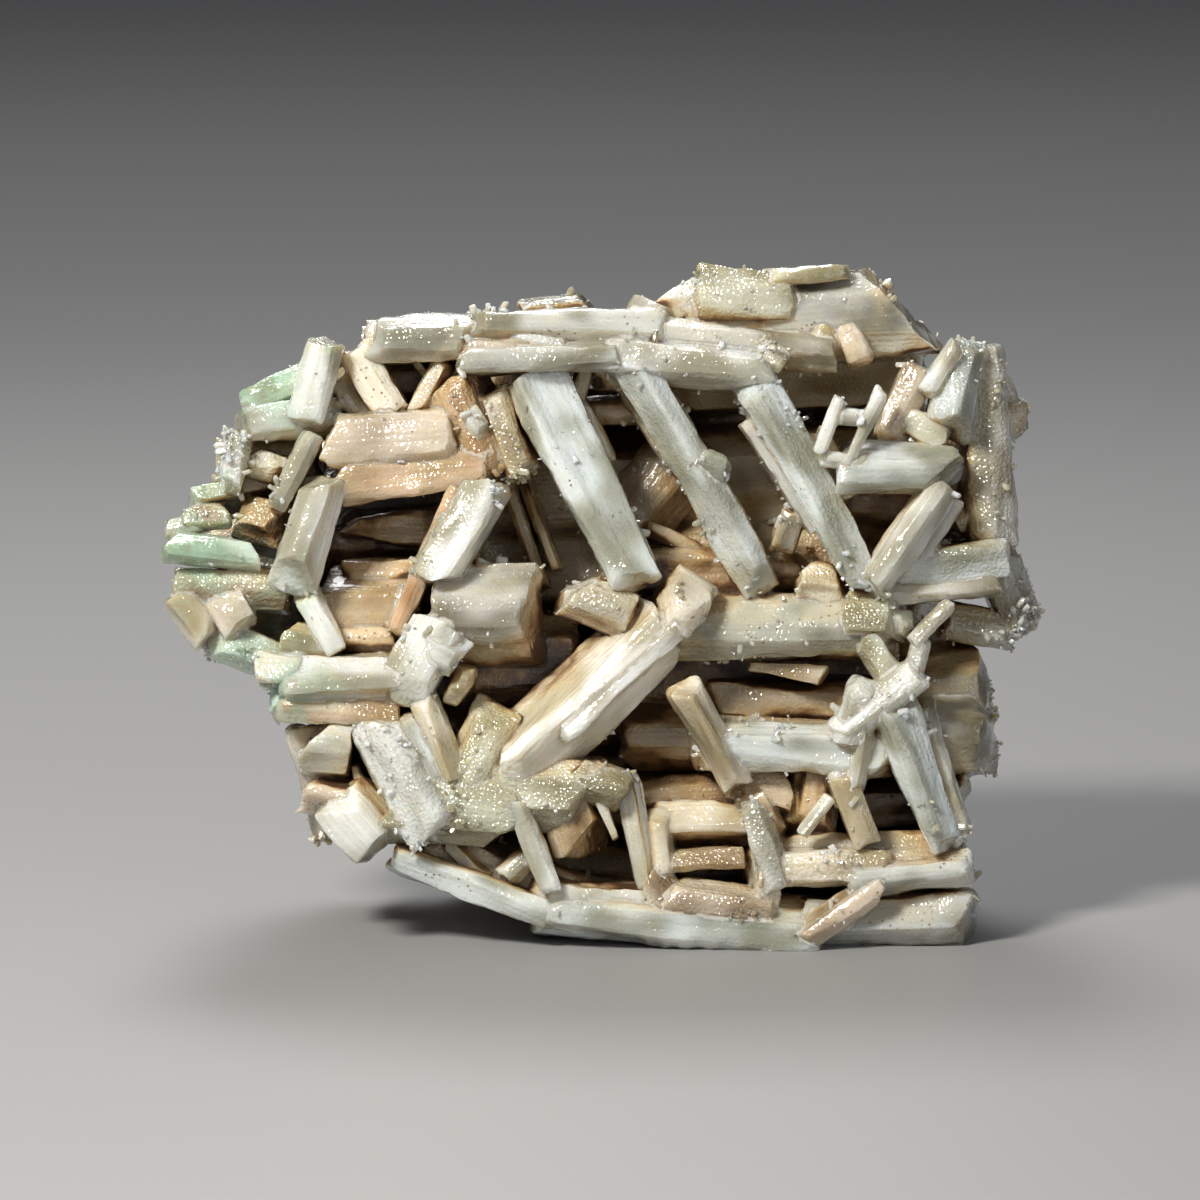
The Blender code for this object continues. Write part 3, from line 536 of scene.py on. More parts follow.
crystal("corner_block", (96.9, 33.6, 9), (94.6, 43.8, 7.5), 5.0, 11, "ice", tips=(0.75, 0.9), druse=1.0)
crystal("corner_plate", (96.0, 34.2, 5.5), (92.4, 39.4, 5.5), 1.8, 5, "milk")
crystal("flank_upper", (98.0, 34.2, 17), (99.6, 55.0, 17), 4.8, 18, "smoke", druse=1.0)
crystal("flank_cap", (99.6, 37.4, 16), (101.8, 44.0, 16), 4.2, 8, "smoke", tips=(0.7, 0.9), druse=1.0)
crystal("flank_ear", (97.5, 43.2, 15), (103.6, 41.2, 15), 3.6, 6, "tan", tips=(1, 0.75), druse=1.0)
crystal("flank_lower", (98.6, 44.0, 14), (96.8, 54.0, 12), 4.0, 8, "smoke", druse=1.0)
crystal("right_bulge", (99.6, 54.5, 15), (103.0, 63.6, 14.5), 4.6, 11, "smoke", tips=(0.9, 0.85), druse=1.0)
crystal("bulge_root", (94.5, 62.0, 14), (102.0, 63.4, 14.5), 3.2, 8, "smoke", druse=1.0)
# These three slabs take the dark dusk tone as painted shade.
crystal("right_slab_upper", (88.0, 69.4, 21), (99.6, 67.6, 20), 7.6, 14, "dusk")
crystal("right_slab_main", (86.0, 73.4, 16.5), (100.2, 73.4, 16.5), 7.6, 16, "dusk", slants=(0, 0.6))
crystal("right_slab_lower", (84.0, 81.0, 22), (97.6, 79.6, 21), 8.0, 14, "dusk", slants=(0, -2.6))
dressed(grown_together("right_flank"), MILKY)

# The middle: blades falling and rising between the level slabs, with deep hollows behind.

crystal("twin_left_bar", (83.9, 39.7, 1.6), (81.8, 45.4, 2.2), 1.1, 1.6, "milk")
crystal("twin_right_bar", (88.2, 38.9, 1.6), (84.1, 47.6, 2.2), 1.5, 2.0, "milk", tips=(1, 0.6))
crystal("twin_link", (82.8, 41.6, 2.4), (86.6, 41.9, 2.4), 1.6, 1.8, "milk")
crystal("twin_foot", (82.0, 45.8, 4), (86.5, 46.4, 3.8), 1.6, 4, "milk")
crystal("blunt_finger", (83.6, 46.6, 5.5), (96.9, 46.9, 5.5), 5.8, 8, "ice", tips=(0.9, 0.62))
crystal("cream_cluster", (75.4, 34.8, 5), (78.0, 36.6, 5.5), 3.2, 4, "cream", tips=(0.7, 1), druse=1.0)
crystal("finger_drop", (81.0, 43.0, 9), (84.5, 50.0, 9), 3.0, 7, "tan")
crystal("bright_prop", (94.4, 48.4, 6), (86.9, 59.2, 5), 3.4, 6, "milk")
crystal("prop_edge", (95.6, 49.6, 7.5), (91.4, 56.0, 7.5), 2.2, 5, "smoke")
crystal("yellow_fan", (90.0, 41.4, 6), (95.2, 44.2, 6), 3.6, 4, "wax", tips=(0.5, 1))
crystal("brown_prop", (92.2, 36.6, 8), (88.6, 44.6, 8), 3.4, 7, "tan")
crystal("central_diagonal", (75.2, 37.6, 6), (87.4, 59.6, 6.5), 4.4, 8, "ice", tips=(1, 0.62), druse=0.4)
crystal("central_side_plate", (74.6, 42.0, 6.5), (81.8, 53.0, 6.5), 1.6, 5, "smoke")
crystal("central_stub", (79.6, 50.8, 8), (78.2, 55.0, 9), 2.4, 4, "smoke")
crystal("second_diagonal", (63.2, 35.6, 8), (76.4, 59.4, 9), 4.2, 9, "ice", tips=(1, 0.85), druse=0.4)
crystal("second_knob", (69.2, 45.6, 5.5), (73.0, 47.0, 5.5), 3.2, 5, "ice", tips=(1, 0.75), druse=0.4)
crystal("second_inner_blade", (62.2, 37.0, 13), (68.0, 46.4, 14), 2.4, 7, "smoke")
crystal("front_blade", (53.2, 37.4, 8), (64.4, 59.4, 5.5), 5.9, 9, "ice", tips=(1, 0.68))
crystal("front_blade_step", (56.6, 40.0, 9.5), (60.2, 46.8, 9), 3.2, 6, "milk")
crystal("left_hanging_plate", (56.4, 36.2, 8.5), (55.8, 39.8, 8.5), 1.5, 4, "milk")
crystal("right_hanging_plate", (58.6, 36.0, 9), (57.4, 40.4, 9), 1.6, 4, "milk")
crystal("window_beam", (55.5, 40.8, 14), (65.0, 40.8, 14), 2.4, 6, "honey")
crystal("window_ledge", (56.0, 38.6, 17), (66.0, 38.8, 17), 2.6, 7, "honey")
# The umber crystals here, deep in the hollows, carry iron stain and painted shade in their colour.
crystal("cavity_plate", (70.2, 43.6, 21), (60.5, 55.5, 19), 7.6, 8, "umber")
crystal("cavity_spindle", (64.4, 52.6, 14), (71.9, 55.6, 13.5), 1.8, 3, "smoke", tips=(1, 0.4))
crystal("cavity_floor", (62.0, 57.2, 18), (82.0, 57.2, 18), 5.0, 12, "umber")
crystal("triangle_back", (83.0, 50.6, 18), (94.0, 51.0, 18), 7.6, 10, "umber")
# The middle slab's olive tone is its greenish-yellow grey, darkened as painted shade.
crystal("middle_slab", (64.0, 62.8, 13), (90.0, 62.6, 13), 5.8, 14, "olive")
crystal("middle_block", (79.6, 58.6, 9), (85.4, 58.8, 9), 4.6, 6, "cream", druse=1.0)
crystal("middle_lump", (84.4, 61.4, 7), (91.0, 62.0, 7), 4.4, 6, "wax", druse=1.0)
crystal("right_blade_upper", (88.4, 56.8, 9), (101.0, 55.8, 10), 3.6, 8, "ice", druse=1.0)
crystal("right_blade_lower", (87.0, 59.4, 10), (100.5, 58.2, 11), 2.6, 9, "smoke")
crystal("sparkle_rod", (95.2, 60.2, 4), (91.0, 64.4, 4), 1.6, 2.4, "milk", druse=1.0)
crystal("sparkle_rod_foot", (92.4, 63.6, 4.4), (91.2, 68.4, 5), 1.8, 3, "milk", druse=1.0)
crystal("rod_root", (91.2, 62.4, 6.5), (87.5, 62.0, 7), 2.4, 4, "wax")
crystal("yellow_brace", (86.4, 63.6, 7), (90.8, 69.8, 6.5), 2.6, 5, "wax", druse=1.0)
crystal("white_bridge", (92.2, 66.8, 4.8), (83.6, 73.6, 5), 3.0, 5, "milk", druse=1.0)
crystal("bridge_plate", (86.6, 67.6, 4.4), (84.6, 74.6, 5), 3.2, 4, "milk", druse=1.0)
crystal("bridge_leg", (86.9, 70.5, 5), (85.4, 79.6, 5.5), 1.7, 4, "milk")
crystal("tan_leg", (84.0, 77.0, 6), (86.9, 84.6, 6.5), 2.5, 5, "cream")
crystal("right_strut", (89.0, 69.8, 6), (94.9, 85.0, 7), 5.0, 9, "ice", tips=(0.9, 0.6))
crystal("strut_side", (92.4, 70.0, 9), (96.4, 84.6, 9.5), 2.4, 6, "smoke")
crystal("low_slab", (69.0, 74.4, 11), (90.0, 75.2, 11), 4.8, 12, "ice")
crystal("low_slab_ledge", (70.5, 70.2, 17), (88.0, 70.2, 17), 4.2, 10, "umber")
crystal("low_slab_back", (62.0, 74.0, 17), (74.0, 74.0, 17), 6.4, 10, "umber")
crystal("hanging_spindle", (75.0, 66.6, 10), (83.0, 67.6, 10), 2.2, 4, "tan", tips=(0.4, 1))
crystal("cream_brace", (68.2, 68.4, 5), (74.0, 78.6, 7), 2.9, 6, "cream")
dressed(grown_together("middle_blades"), MILKY)

# The lower edge: struts, rods and the bluish slab that the specimen stands on.

crystal("tan_web", (73.0, 78.0, 10), (79.8, 80.0, 10), 4.0, 6, "honey")
crystal("web_drop", (75.0, 79.0, 9), (77.6, 84.0, 9), 3.4, 6, "honey")
crystal("orange_block", (81.8, 76.0, 11), (80.6, 84.6, 11), 5.2, 7, "amber")
crystal("white_bar", (83.1, 79.6, 5), (80.1, 83.5, 5), 1.3, 1.8, "milk")
crystal("bar_root", (83.4, 76.6, 6.5), (85.0, 80.6, 6.5), 2.4, 4, "cream")
crystal("deep_band", (61.0, 80.0, 18), (76.0, 79.0, 18), 3.0, 10, "umber")
crystal("lower_slab", (64.0, 82.6, 12), (76.5, 82.8, 12), 4.2, 11, "cream")
crystal("lower_slab_right", (74.0, 86.4, 14), (97.0, 85.6, 14), 4.4, 14, "smoke")
crystal("pale_leaf", (62.8, 76.6, 6), (64.8, 90.4, 6), 5.6, 7, "milk", tips=(0.55, 0.4))
crystal("leaf_heel", (65.4, 81.0, 8), (66.6, 88.0, 8), 3.0, 5, "cream")
crystal("upright_block", (75.0, 79.6, 5), (77.8, 89.0, 6), 2.9, 4, "milk", tips=(0.85, 1), druse=1.0)
crystal("drusy_bar", (75.6, 87.2, 6.5), (89.4, 86.6, 6.5), 3.2, 5, "cream", druse=1.0)
crystal("blue_slab", (84.0, 88.2, 8.5), (97.3, 86.8, 8.5), 4.2, 9, "pearl", tips=(1, 0.75))
crystal("drusy_post", (77.0, 86.0, 7), (76.2, 93.6, 7), 2.4, 4, "cream", druse=1.0)
crystal("slant_rod", (88.2, 88.4, 5.5), (79.6, 94.2, 5.5), 2.6, 4, "tan")
crystal("base_right_slab", (80.0, 92.6, 15), (98.0, 92.2, 15), 5.2, 18, "slate")
crystal("base_right_back", (92.0, 89.6, 21), (97.9, 89.6, 21), 6.5, 10, "dusk")
crystal("base_slab", (53.0, 90.8, 13), (82.0, 92.8, 13), 5.4, 16, "ice")
crystal("base_slab_front", (55.0, 90.2, 7.5), (70.0, 91.4, 7.5), 3.0, 5, "milk")
crystal("base_lumps", (66.4, 90.6, 8), (78.6, 92.2, 8), 5.4, 7, "tan", druse=1.0)
crystal("leaf_foot", (64.6, 87.2, 7), (68.4, 91.8, 7), 3.2, 5, "tan", druse=1.0)
crystal("tan_shelf", (66.0, 86.4, 8), (74.6, 85.8, 8), 2.2, 5, "tan", druse=1.0)
crystal("lower_left_plate", (39.0, 85.6, 9), (56.0, 91.8, 8.5), 3.2, 9, "ice", tips=(0.8, 0.9))
crystal("lower_left_back", (42.0, 84.6, 15), (58.0, 90.6, 15), 5.0, 12, "tan")
crystal("slim_upright", (51.4, 79.6, 4.5), (55.2, 89.4, 5.5), 2.0, 4, "milk")
crystal("tan_leaf", (44.0, 83.4, 10), (48.2, 88.4, 10), 3.0, 5, "tan")
crystal("white_scrap", (50.2, 88.0, 7.5), (53.2, 85.0, 7.5), 2.4, 3, "milk")
crystal("tan_block", (56.0, 78.0, 10), (58.6, 85.8, 9.5), 5.6, 8, "honey")
crystal("flake", (59.6, 79.0, 7), (61.6, 84.0, 7), 1.4, 4, "cream", tips=(1, 0.5))
dressed(grown_together("lower_struts"), MILKY)

# In front: the broad white blade and the greenish waxy mass that it grows from.

crystal("great_blade", (67.6, 60.6, 7.5), (49.4, 78.6, 7), 9.6, 11, "snow", tips=(0.72, 0.9))
crystal("great_blade_rib", (70.2, 59.6, 5.5), (54.0, 74.6, 4.2), 4.6, 6, "snow", tips=(0.9, 0.6))
crystal("great_blade_head", (66.0, 58.6, 6), (70.6, 61.6, 6), 5.4, 8, "cream")
crystal("great_blade_shoulder", (55.6, 59.0, 8), (63.5, 62.0, 7.5), 4.6, 8, "snow", druse=1.0)
crystal("great_blade_flank", (50.2, 70.6, 8.5), (45.6, 78.6, 7.5), 5.0, 8, "wax", druse=1.0)
crystal("great_blade_foot", (48.0, 79.6, 8), (60.8, 79.4, 8), 6.4, 8, "wax", druse=1.0)
crystal("drusy_bridge", (56.8, 77.4, 7), (62.8, 79.4, 7), 3.6, 6, "wax", druse=1.0)
crystal("green_wax_mass", (38.0, 79.4, 8), (52.5, 80.6, 8), 8.6, 9, "wax", druse=1.0)
crystal("first_finger", (37.0, 71.6, 5.5), (43.4, 83.8, 6), 4.6, 8, "milk", druse=1.0)
crystal("second_finger", (39.8, 71.6, 6.5), (43.8, 78.6, 6.5), 2.9, 6, "milk")
crystal("third_finger", (41.9, 68.8, 5), (45.4, 78.0, 5.5), 2.6, 5, "cream")
crystal("corner_foot", (33.6, 79.4, 8), (38.4, 84.6, 7.5), 5.8, 9, "milk")
crystal("left_white_block", (29.6, 74.2, 9), (35.4, 74.8, 9), 5.6, 9, "milk")
crystal("left_pink_block", (30.0, 79.0, 9.5), (37.0, 80.4, 9), 4.6, 8, "blush", slants=(-1.2, 0))
crystal("left_spike", (35.4, 76.4, 7), (36.4, 80.0, 7), 1.2, 2, "honey", tips=(0.4, 1))
crystal("left_column", (31.4, 72.0, 14), (34.6, 84.0, 14), 6.0, 10, "tan")
crystal("behind_fingers", (36.0, 74.0, 14), (50.0, 74.0, 14), 8.0, 10, "honey")
dressed(grown_together("front_blade_and_mass"), MILKY)

# The bulky milky block left of the middle, the plates on it and the hollow above.

crystal("left_bar", (27.6, 68.2, 7.5), (41.0, 68.2, 8), 4.6, 9, "milk")
crystal("left_bar_under", (27.2, 70.8, 9), (40.0, 71.2, 9), 2.4, 9, "honey")
crystal("yellow_slab", (30.0, 61.2, 13.5), (42.0, 61.0, 13.5), 8.4, 11, "honey")
crystal("yellow_lip", (31.0, 64.0, 10), (40.0, 64.0, 10), 2.4, 6, "honey")
crystal("hollow_spindle", (45.0, 52.9, 16), (33.6, 52.5, 16), 4.2, 7, "tan", tips=(1, 0.35))
# The umber crystals in this hollow carry iron stain and painted shade in their colour.
crystal("hollow_back", (30.0, 56.0, 22), (48.0, 55.0, 22), 9.0, 10, "umber")
crystal("hollow_shelf", (33.8, 57.3, 13), (42.5, 57.0, 13), 2.4, 6, "honey")
crystal("left_blade", (48.9, 47.8, 6.5), (43.0, 58.6, 6), 4.4, 8, "milk")
crystal("left_blade_edge", (45.8, 48.6, 7.5), (39.4, 63.6, 7.5), 1.8, 7, "amber")
crystal("bulky_block", (42.6, 62.0, 8.5), (54.4, 61.4, 9), 9.4, 11, "smoke")
crystal("block_front_plate", (44.4, 61.8, 4.4), (39.8, 70.2, 4.6), 5.0, 5, "milk", slants=(1.6, 0))
crystal("plate_corner", (42.2, 63.8, 4), (46.2, 66.2, 4), 4.0, 4, "milk")
crystal("block_chip", (44.6, 68.2, 7), (47.4, 68.8, 7), 3.6, 6, "cream")
crystal("small_spike_left", (48.3, 56.0, 7), (47.6, 59.4, 6.5), 1.4, 2.4, "milk")
crystal("small_spike_right", (50.2, 55.4, 7.5), (50.0, 59.0, 7.5), 1.2, 2.0, "milk")
crystal("deep_blade_left", (50.4, 47.6, 17), (54.4, 59.0, 17), 1.4, 7, "umber")
crystal("deep_blade_right", (52.2, 47.6, 16), (55.6, 57.0, 16), 1.2, 6, "umber")
crystal("behind_block", (42.0, 66.0, 16), (58.0, 66.0, 16), 9.0, 10, "tan")
crystal("deep_left_wall", (46.0, 50.0, 24), (60.0, 50.0, 24), 12.0, 10, "umber")
dressed(grown_together("block_and_hollow"), MILKY)

# The left end: small blades and knobs, tinted blue-green by copper.

crystal("left_slab_white", (31.8, 44.2, 9), (45.4, 43.4, 9), 5.0, 10, "blush")
crystal("left_slab_amber", (32.8, 48.4, 10), (49.6, 46.2, 10), 4.2, 11, "amber", slants=(-0.6, 0))
crystal("grey_left_slab", (23.4, 42.3, 9), (34.0, 41.8, 10), 3.4, 8, "smoke")
crystal("green_upper_slab", (23.8, 40.6, 11), (31.5, 37.4, 12), 3.6, 7, "copper", tips=(0.8, 1))
crystal("white_pillar", (32.6, 34.0, 6.5), (30.4, 42.4, 6.5), 3.5, 7, "milk")
crystal("cream_plate", (35.2, 34.6, 8), (39.4, 41.8, 8), 3.2, 4, "cream")
crystal("cream_plate_back", (33.6, 37.6, 10), (36.4, 41.8, 10), 2.6, 4, "cream")
crystal("window_blade", (40.9, 35.2, 11), (43.8, 39.2, 11), 1.0, 4, "honey")
crystal("speckled_plate", (44.8, 35.8, 8.5), (41.6, 41.6, 8.5), 2.2, 5, "tan")
crystal("upper_hollow_back", (33.0, 38.6, 18), (46.0, 38.6, 18), 7.0, 8, "umber")
crystal("amber_knot", (45.0, 37.6, 9.5), (48.6, 47.6, 9.5), 6.8, 9, "amber", druse=1.0)
crystal("pale_lumps", (49.0, 38.6, 8), (52.4, 47.4, 8.5), 3.4, 6, "cream", druse=1.0)
crystal("knot_facet", (46.6, 40.8, 5.8), (48.4, 43.8, 5.8), 2.2, 3, "milk")
crystal("left_rod", (31.3, 43.4, 5.5), (27.5, 51.0, 5), 2.0, 4, "milk")
crystal("ribbed_fan", (32.8, 47.6, 5), (29.0, 59.4, 5), 5.4, 7, "milk", tips=(0.8, 0.9), slants=(1.2, 0))
crystal("white_leaf", (30.4, 59.0, 6.5), (33.8, 65.4, 6.5), 2.9, 5, "milk", tips=(0.9, 0.6))
crystal("left_white_blob", (23.8, 43.2, 7.5), (22.4, 49.6, 7.5), 4.0, 7, "milk", tips=(0.8, 0.6), druse=1.0)
crystal("blob_side", (24.4, 46.0, 8.5), (28.4, 47.2, 9), 2.8, 5, "cream", druse=1.0)
crystal("pale_green_tip", (18.7, 49.6, 9.5), (24.0, 48.8, 10), 1.9, 4, "copper")
crystal("tan_knobs_upper", (18.2, 51.8, 9), (23.0, 51.4, 9), 2.4, 5, "tan", druse=1.0)
crystal("left_web", (21.0, 48.0, 14), (32.0, 46.0, 14), 7.0, 9, "tan")
crystal("crumb_bed", (23.4, 51.4, 9), (28.6, 52.6, 9), 4.2, 5, "amber", druse=1.0)
crystal("green_blade", (16.0, 54.6, 6.5), (26.6, 55.9, 7.5), 4.4, 7, "copper", tips=(0.8, 0.6))
crystal("grey_left_tip", (16.2, 53.0, 9), (20.6, 52.2, 9), 2.0, 4, "smoke")
crystal("tan_druse_bed", (16.8, 59.0, 9), (29.0, 59.0, 10), 4.2, 7, "tan", druse=1.0)
crystal("pale_lower_left", (17.2, 59.4, 7), (20.9, 64.2, 7), 3.0, 5, "cream")
crystal("pink_block", (21.8, 58.8, 6.5), (24.6, 63.8, 6.5), 3.4, 5, "blush")
crystal("lower_left_druse", (20.4, 63.6, 9), (28.4, 66.8, 9), 3.6, 7, "copper", druse=1.0)
crystal("amber_green_block", (28.0, 64.0, 9), (34.0, 64.8, 9), 3.8, 7, "wax")
crystal("round_block", (25.4, 66.9, 7.5), (30.6, 67.2, 7.5), 3.6, 7, "cream")
crystal("green_band", (26.8, 69.9, 9), (33.0, 70.3, 9), 2.6, 7, "copper")
crystal("left_end_core", (19.0, 57.6, 15), (32.0, 58.6, 15), 12.4, 9, "tan")
dressed(grown_together("left_end_crystals"), MILKY)

# The back: the same three directions carried on, closing over a domed surface.

OUTLINE = np.array((
    (15.8, 56.0), (18.6, 49.0), (21.6, 47.0), (23.2, 40.2), (30.2, 35.2), (35.8, 31.6), (46.0, 31.6),
    (52.0, 29.4), (64.0, 30.4), (69.5, 26.6), (79.0, 25.8), (92.0, 27.6), (98.0, 33.4), (103.8, 41.0),
    (101.0, 50.0), (104.8, 59.0), (103.0, 64.0), (99.2, 66.0), (100.2, 76.0), (97.2, 86.0), (97.8, 94.0),
    (78.0, 95.4), (60.0, 93.8), (53.0, 93.0), (41.0, 87.4), (33.2, 84.6), (29.0, 76.0), (27.4, 70.0),
    (21.6, 66.0), (16.0, 61.0),
))
OUTLINE_MIDDLE = OUTLINE.mean(axis=0)
BACK_INSET = 0.94
BACK_RIM = 27.0
BACK_MIDDLE = 37.5


def line_span(point, direction):
    """Where a line crosses the inset outline, as distances along it: each edge is cut where the corners'
    distances to the line change sign."""
    corners = OUTLINE_MIDDLE + (OUTLINE - OUTLINE_MIDDLE) * BACK_INSET
    edges = np.roll(corners, -1, axis=0) - corners
    ahead = (corners - point) @ (-direction[1], direction[0])
    passed = np.roll(ahead, -1)
    crossed = ahead * passed < 0
    share = ahead[crossed] / (ahead[crossed] - passed[crossed])
    hits = (corners[crossed] + edges[crossed] * share[:, None] - point) @ direction
    return (hits.min(), hits.max()) if len(hits) else None


def grown_behind(name, point, angle, depth, length, width, thickness, tone):
    """A hidden crystal through a point, cut off where a strip of its width meets the outline."""
    turn = math.radians(angle)
    direction = np.array((math.cos(turn), -math.sin(turn)))
    side = np.array((-direction[1], direction[0])) * width * 0.4
    spans = [line_span(point + side * k, direction) for k in (-1, 0, 1)]
    if None in spans:
        return
    first = max(-length / 2, max(s[0] for s in spans))
    last = min(length / 2, min(s[1] for s in spans))
    if last - first < width:
        return
    start, end = point + direction * first, point + direction * last
    crystal(name, (*start, depth), (*end, depth + 1.0), width, thickness, tone, grain=0.7, druse=0.4)


def inner_layer(name, angle, depth, pitch, width, thickness, seed):
    """Parallel crystals right behind the face's own."""
    rng = np.random.default_rng(seed)
    turn = math.radians(angle)
    normal = np.array((-math.sin(turn), -math.cos(turn)))
    for row in range(-4, 5):
        point = OUTLINE_MIDDLE + normal * pitch * (row + 0.2 * rng.uniform(-1, 1))
        grown_behind(f"{name}_{row}", point, angle, depth + rng.uniform(-1, 1), 90, width, thickness, "tan")


def back_crystals():
    """Short crystals in the three directions, seeded on a shaken grid, deeper towards the middle."""
    rng = np.random.default_rng(41)
    reach = np.abs(OUTLINE - OUTLINE_MIDDLE).max(axis=0)
    for row in range(6):
        for column in range(7):
            step = np.array((column + 0.5 * (row % 2), row)) + rng.uniform(-0.3, 0.3, 2)
            point = np.array((25.0, 33.0)) + step * np.array((11.0, 11.4))
            away = min(1.0, float(np.sum(((point - OUTLINE_MIDDLE) / reach) ** 2)))
            angle = rng.choice((3, 60, -58)) + rng.uniform(-6, 6)
            width, length = rng.uniform(5.2, 8.6), rng.uniform(15, 30)
            depth = BACK_RIM + (BACK_MIDDLE - BACK_RIM) * (1 - away) + rng.uniform(-1.6, 1.6)
            tone = ("milk", "ice", "smoke", "cream", "wax", "blush")[(row * 7 + column * 5) % 6]
            grown_behind(f"back_{row}_{column}", point, angle, depth, length, width, rng.uniform(7, 10), tone)


inner_layer("level_deep", 2, 23, 10.5, 9.6, 9, 11)
inner_layer("falling_deep", -60, 29, 11.0, 9.4, 8, 12)
back_crystals()
crystal("base_back_slab", (51.0, 89.6, 28), (96.0, 89.0, 28), 8.0, 14, "smoke", grain=0.7)
crystal("base_rear_slab", (57.0, 89.0, 35.5), (76.0, 89.4, 36), 7.4, 9, "cream", tips=(0.8, 1), grain=0.7)
crystal("base_rear_block", (74.0, 88.0, 37), (89.0, 89.0, 35), 8.6, 9, "ice", tips=(1, 0.8), grain=0.7)
dressed(grown_together("back_lattice"), MILKY)
bpy.data.objects.remove(UNDER_BASE)

# Druse: a second crop of small stubby cerussite crystals on the older ones, thick in places and
# mostly 0.3 to 1 mm across. Each is a six-sided prism with a blunt point.

STUB_SIDES = 6


def stubs(rng, spots, ways, sizes):
    """Small prisms at many spots at once: a ring of points at the foot and shoulder, turned so that their
    axis points the given way, and closed by a tip above and a centre below."""
    count = len(spots)
    side = np.cross(ways, rng.normal(size=(count, 3)))
    side /= np.linalg.norm(side, axis=1, keepdims=True)
    other = np.cross(ways, side)
    angle = np.arange(STUB_SIDES) / STUB_SIDES * 2 * np.pi
    ring = np.cos(angle)[None, :, None] * side[:, None] + np.sin(angle)[None, :, None] * other[:, None] * 0.72
    tall = rng.uniform(0.7, 1.9, count)
    size = sizes[:, None, None]
    way = ways[:, None]
    foot = spots[:, None] + ring * size * 0.5 - way * size * 0.45
    shoulder = spots[:, None] + ring * size * 0.42 + way * size * (tall * 0.55)[:, None, None]
    shoulder = shoulder + way * rng.uniform(-0.12, 0.12, (count, STUB_SIDES, 1)) * size
    low = spots[:, None] - way * size * 0.5
    tip = spots[:, None] + way * size * (tall * 0.55 + rng.uniform(0.08, 0.32, count))[:, None, None]
    points = np.concatenate((foot, shoulder, low, tip), axis=1)
    k = np.arange(STUB_SIDES)
    n = (k + 1) % STUB_SIDES
    walls = np.stack((k, n, n + STUB_SIDES, k + STUB_SIDES), axis=-1)
    below = np.stack((n, k, np.full(STUB_SIDES, 2 * STUB_SIDES)), axis=-1)
    above = np.stack((k + STUB_SIDES, n + STUB_SIDES, np.full(STUB_SIDES, 2 * STUB_SIDES + 1)), axis=-1)
    step = (np.arange(count) * (2 * STUB_SIDES + 2))[:, None, None]
    ends = np.concatenate((below, above)) + step
    return points.reshape(-1, 3), (walls + step).reshape(-1, 4), ends.reshape(-1, 3)


def druse_on(name, pieces, count, smallest, largest, seed, where="druse", tilt=0.45):
    """Stubs set on a piece's own points, picked by chance times a value there, where the surface is open,
    and tilted off its normal."""
    rng = np.random.default_rng(seed)
    spots, ways, druse, tone = [], [], [], []
    for piece in pieces:
        made = piece.data
        spots.append(values_of(made.vertices, "co", np.float32, 3) * 1000)
        ways.append(values_of(made.vertex_normals, "vector", np.float32, 3))
        druse.append(values_of(made.attributes[where].data, "value", np.float32))
        tone.append(values_of(made.attributes["tone"].data, "color", np.float32, 4))
    spots, ways = np.concatenate(spots).astype(float), np.concatenate(ways).astype(float)
    druse, tone = np.concatenate(druse), np.concatenate(tone)
    swarm = np.clip(noise(spots * 0.28, 31) + 0.3, 0, 1) ** 3 + 0.01
    chance = druse * swarm * (np.clip(0.62 - density_near(spots, ways, 2.0, DENSITY), 0, 1) + 0.02)
    chance[spots[:, 2] < 2.5] = 0
    picked = rng.choice(len(spots), count, p=chance / chance.sum())
    spots = spots[picked] + rng.normal(0, 0.12, (count, 3))
    ways = ways[picked] + rng.normal(0, tilt, (count, 3))
    ways /= np.linalg.norm(ways, axis=1, keepdims=True)
    sizes = smallest * (largest / smallest) ** (rng.uniform(0, 1, count) ** 2.2)
    points, walls, ends = stubs(rng, spots, ways, sizes)
    points[:, 2] = np.maximum(points[:, 2], 0)
    made = mesh_of(name, points, [walls, ends])
    each = 2 * STUB_SIDES + 2
    colour = np.repeat(tone[picked] * (0.75, 0.75, 0.75, 1) + (0.16, 0.15, 0.13, 0), each, axis=0)
    write_values(made, "tone", "FLOAT_COLOR", colour)
    write_values(made, "growth", "FLOAT_VECTOR", points)
    write_values(made, "druse", "FLOAT", np.full(len(points), 0.1))
    piece = bpy.data.objects.new(name, made)
    bpy.context.scene.collection.objects.link(piece)
    return piece


GRID_STEP = 0.8
GRID_LOW = np.array((-52.0, -32.0, -6.0))
GRID_COUNTS = (130, 80, 100)


def filled_grid():
    """A grid over the specimen: 1 in each cell whose middle is inside a crystal's box, and 0 elsewhere."""
    grid = np.zeros(GRID_COUNTS)
    for middle, axes, size in GROWN:
        reach = np.abs(axes).T @ (size / 2)
        first = np.maximum(np.floor((middle - reach - GRID_LOW) / GRID_STEP).astype(int), 0)
        last = np.minimum(np.ceil((middle + reach - GRID_LOW) / GRID_STEP).astype(int) + 1, GRID_COUNTS)
        spans = [np.arange(a, b) for a, b in zip(first, last)]
        cells = np.stack(np.meshgrid(*spans, indexing="ij"), axis=-1) * GRID_STEP + GRID_LOW
        inside = (np.abs((cells - middle) @ axes.T) < size / 2).all(axis=-1)
        part = grid[first[0]:last[0], first[1]:last[1], first[2]:last[2]]
        part[inside] = 1
    return grid


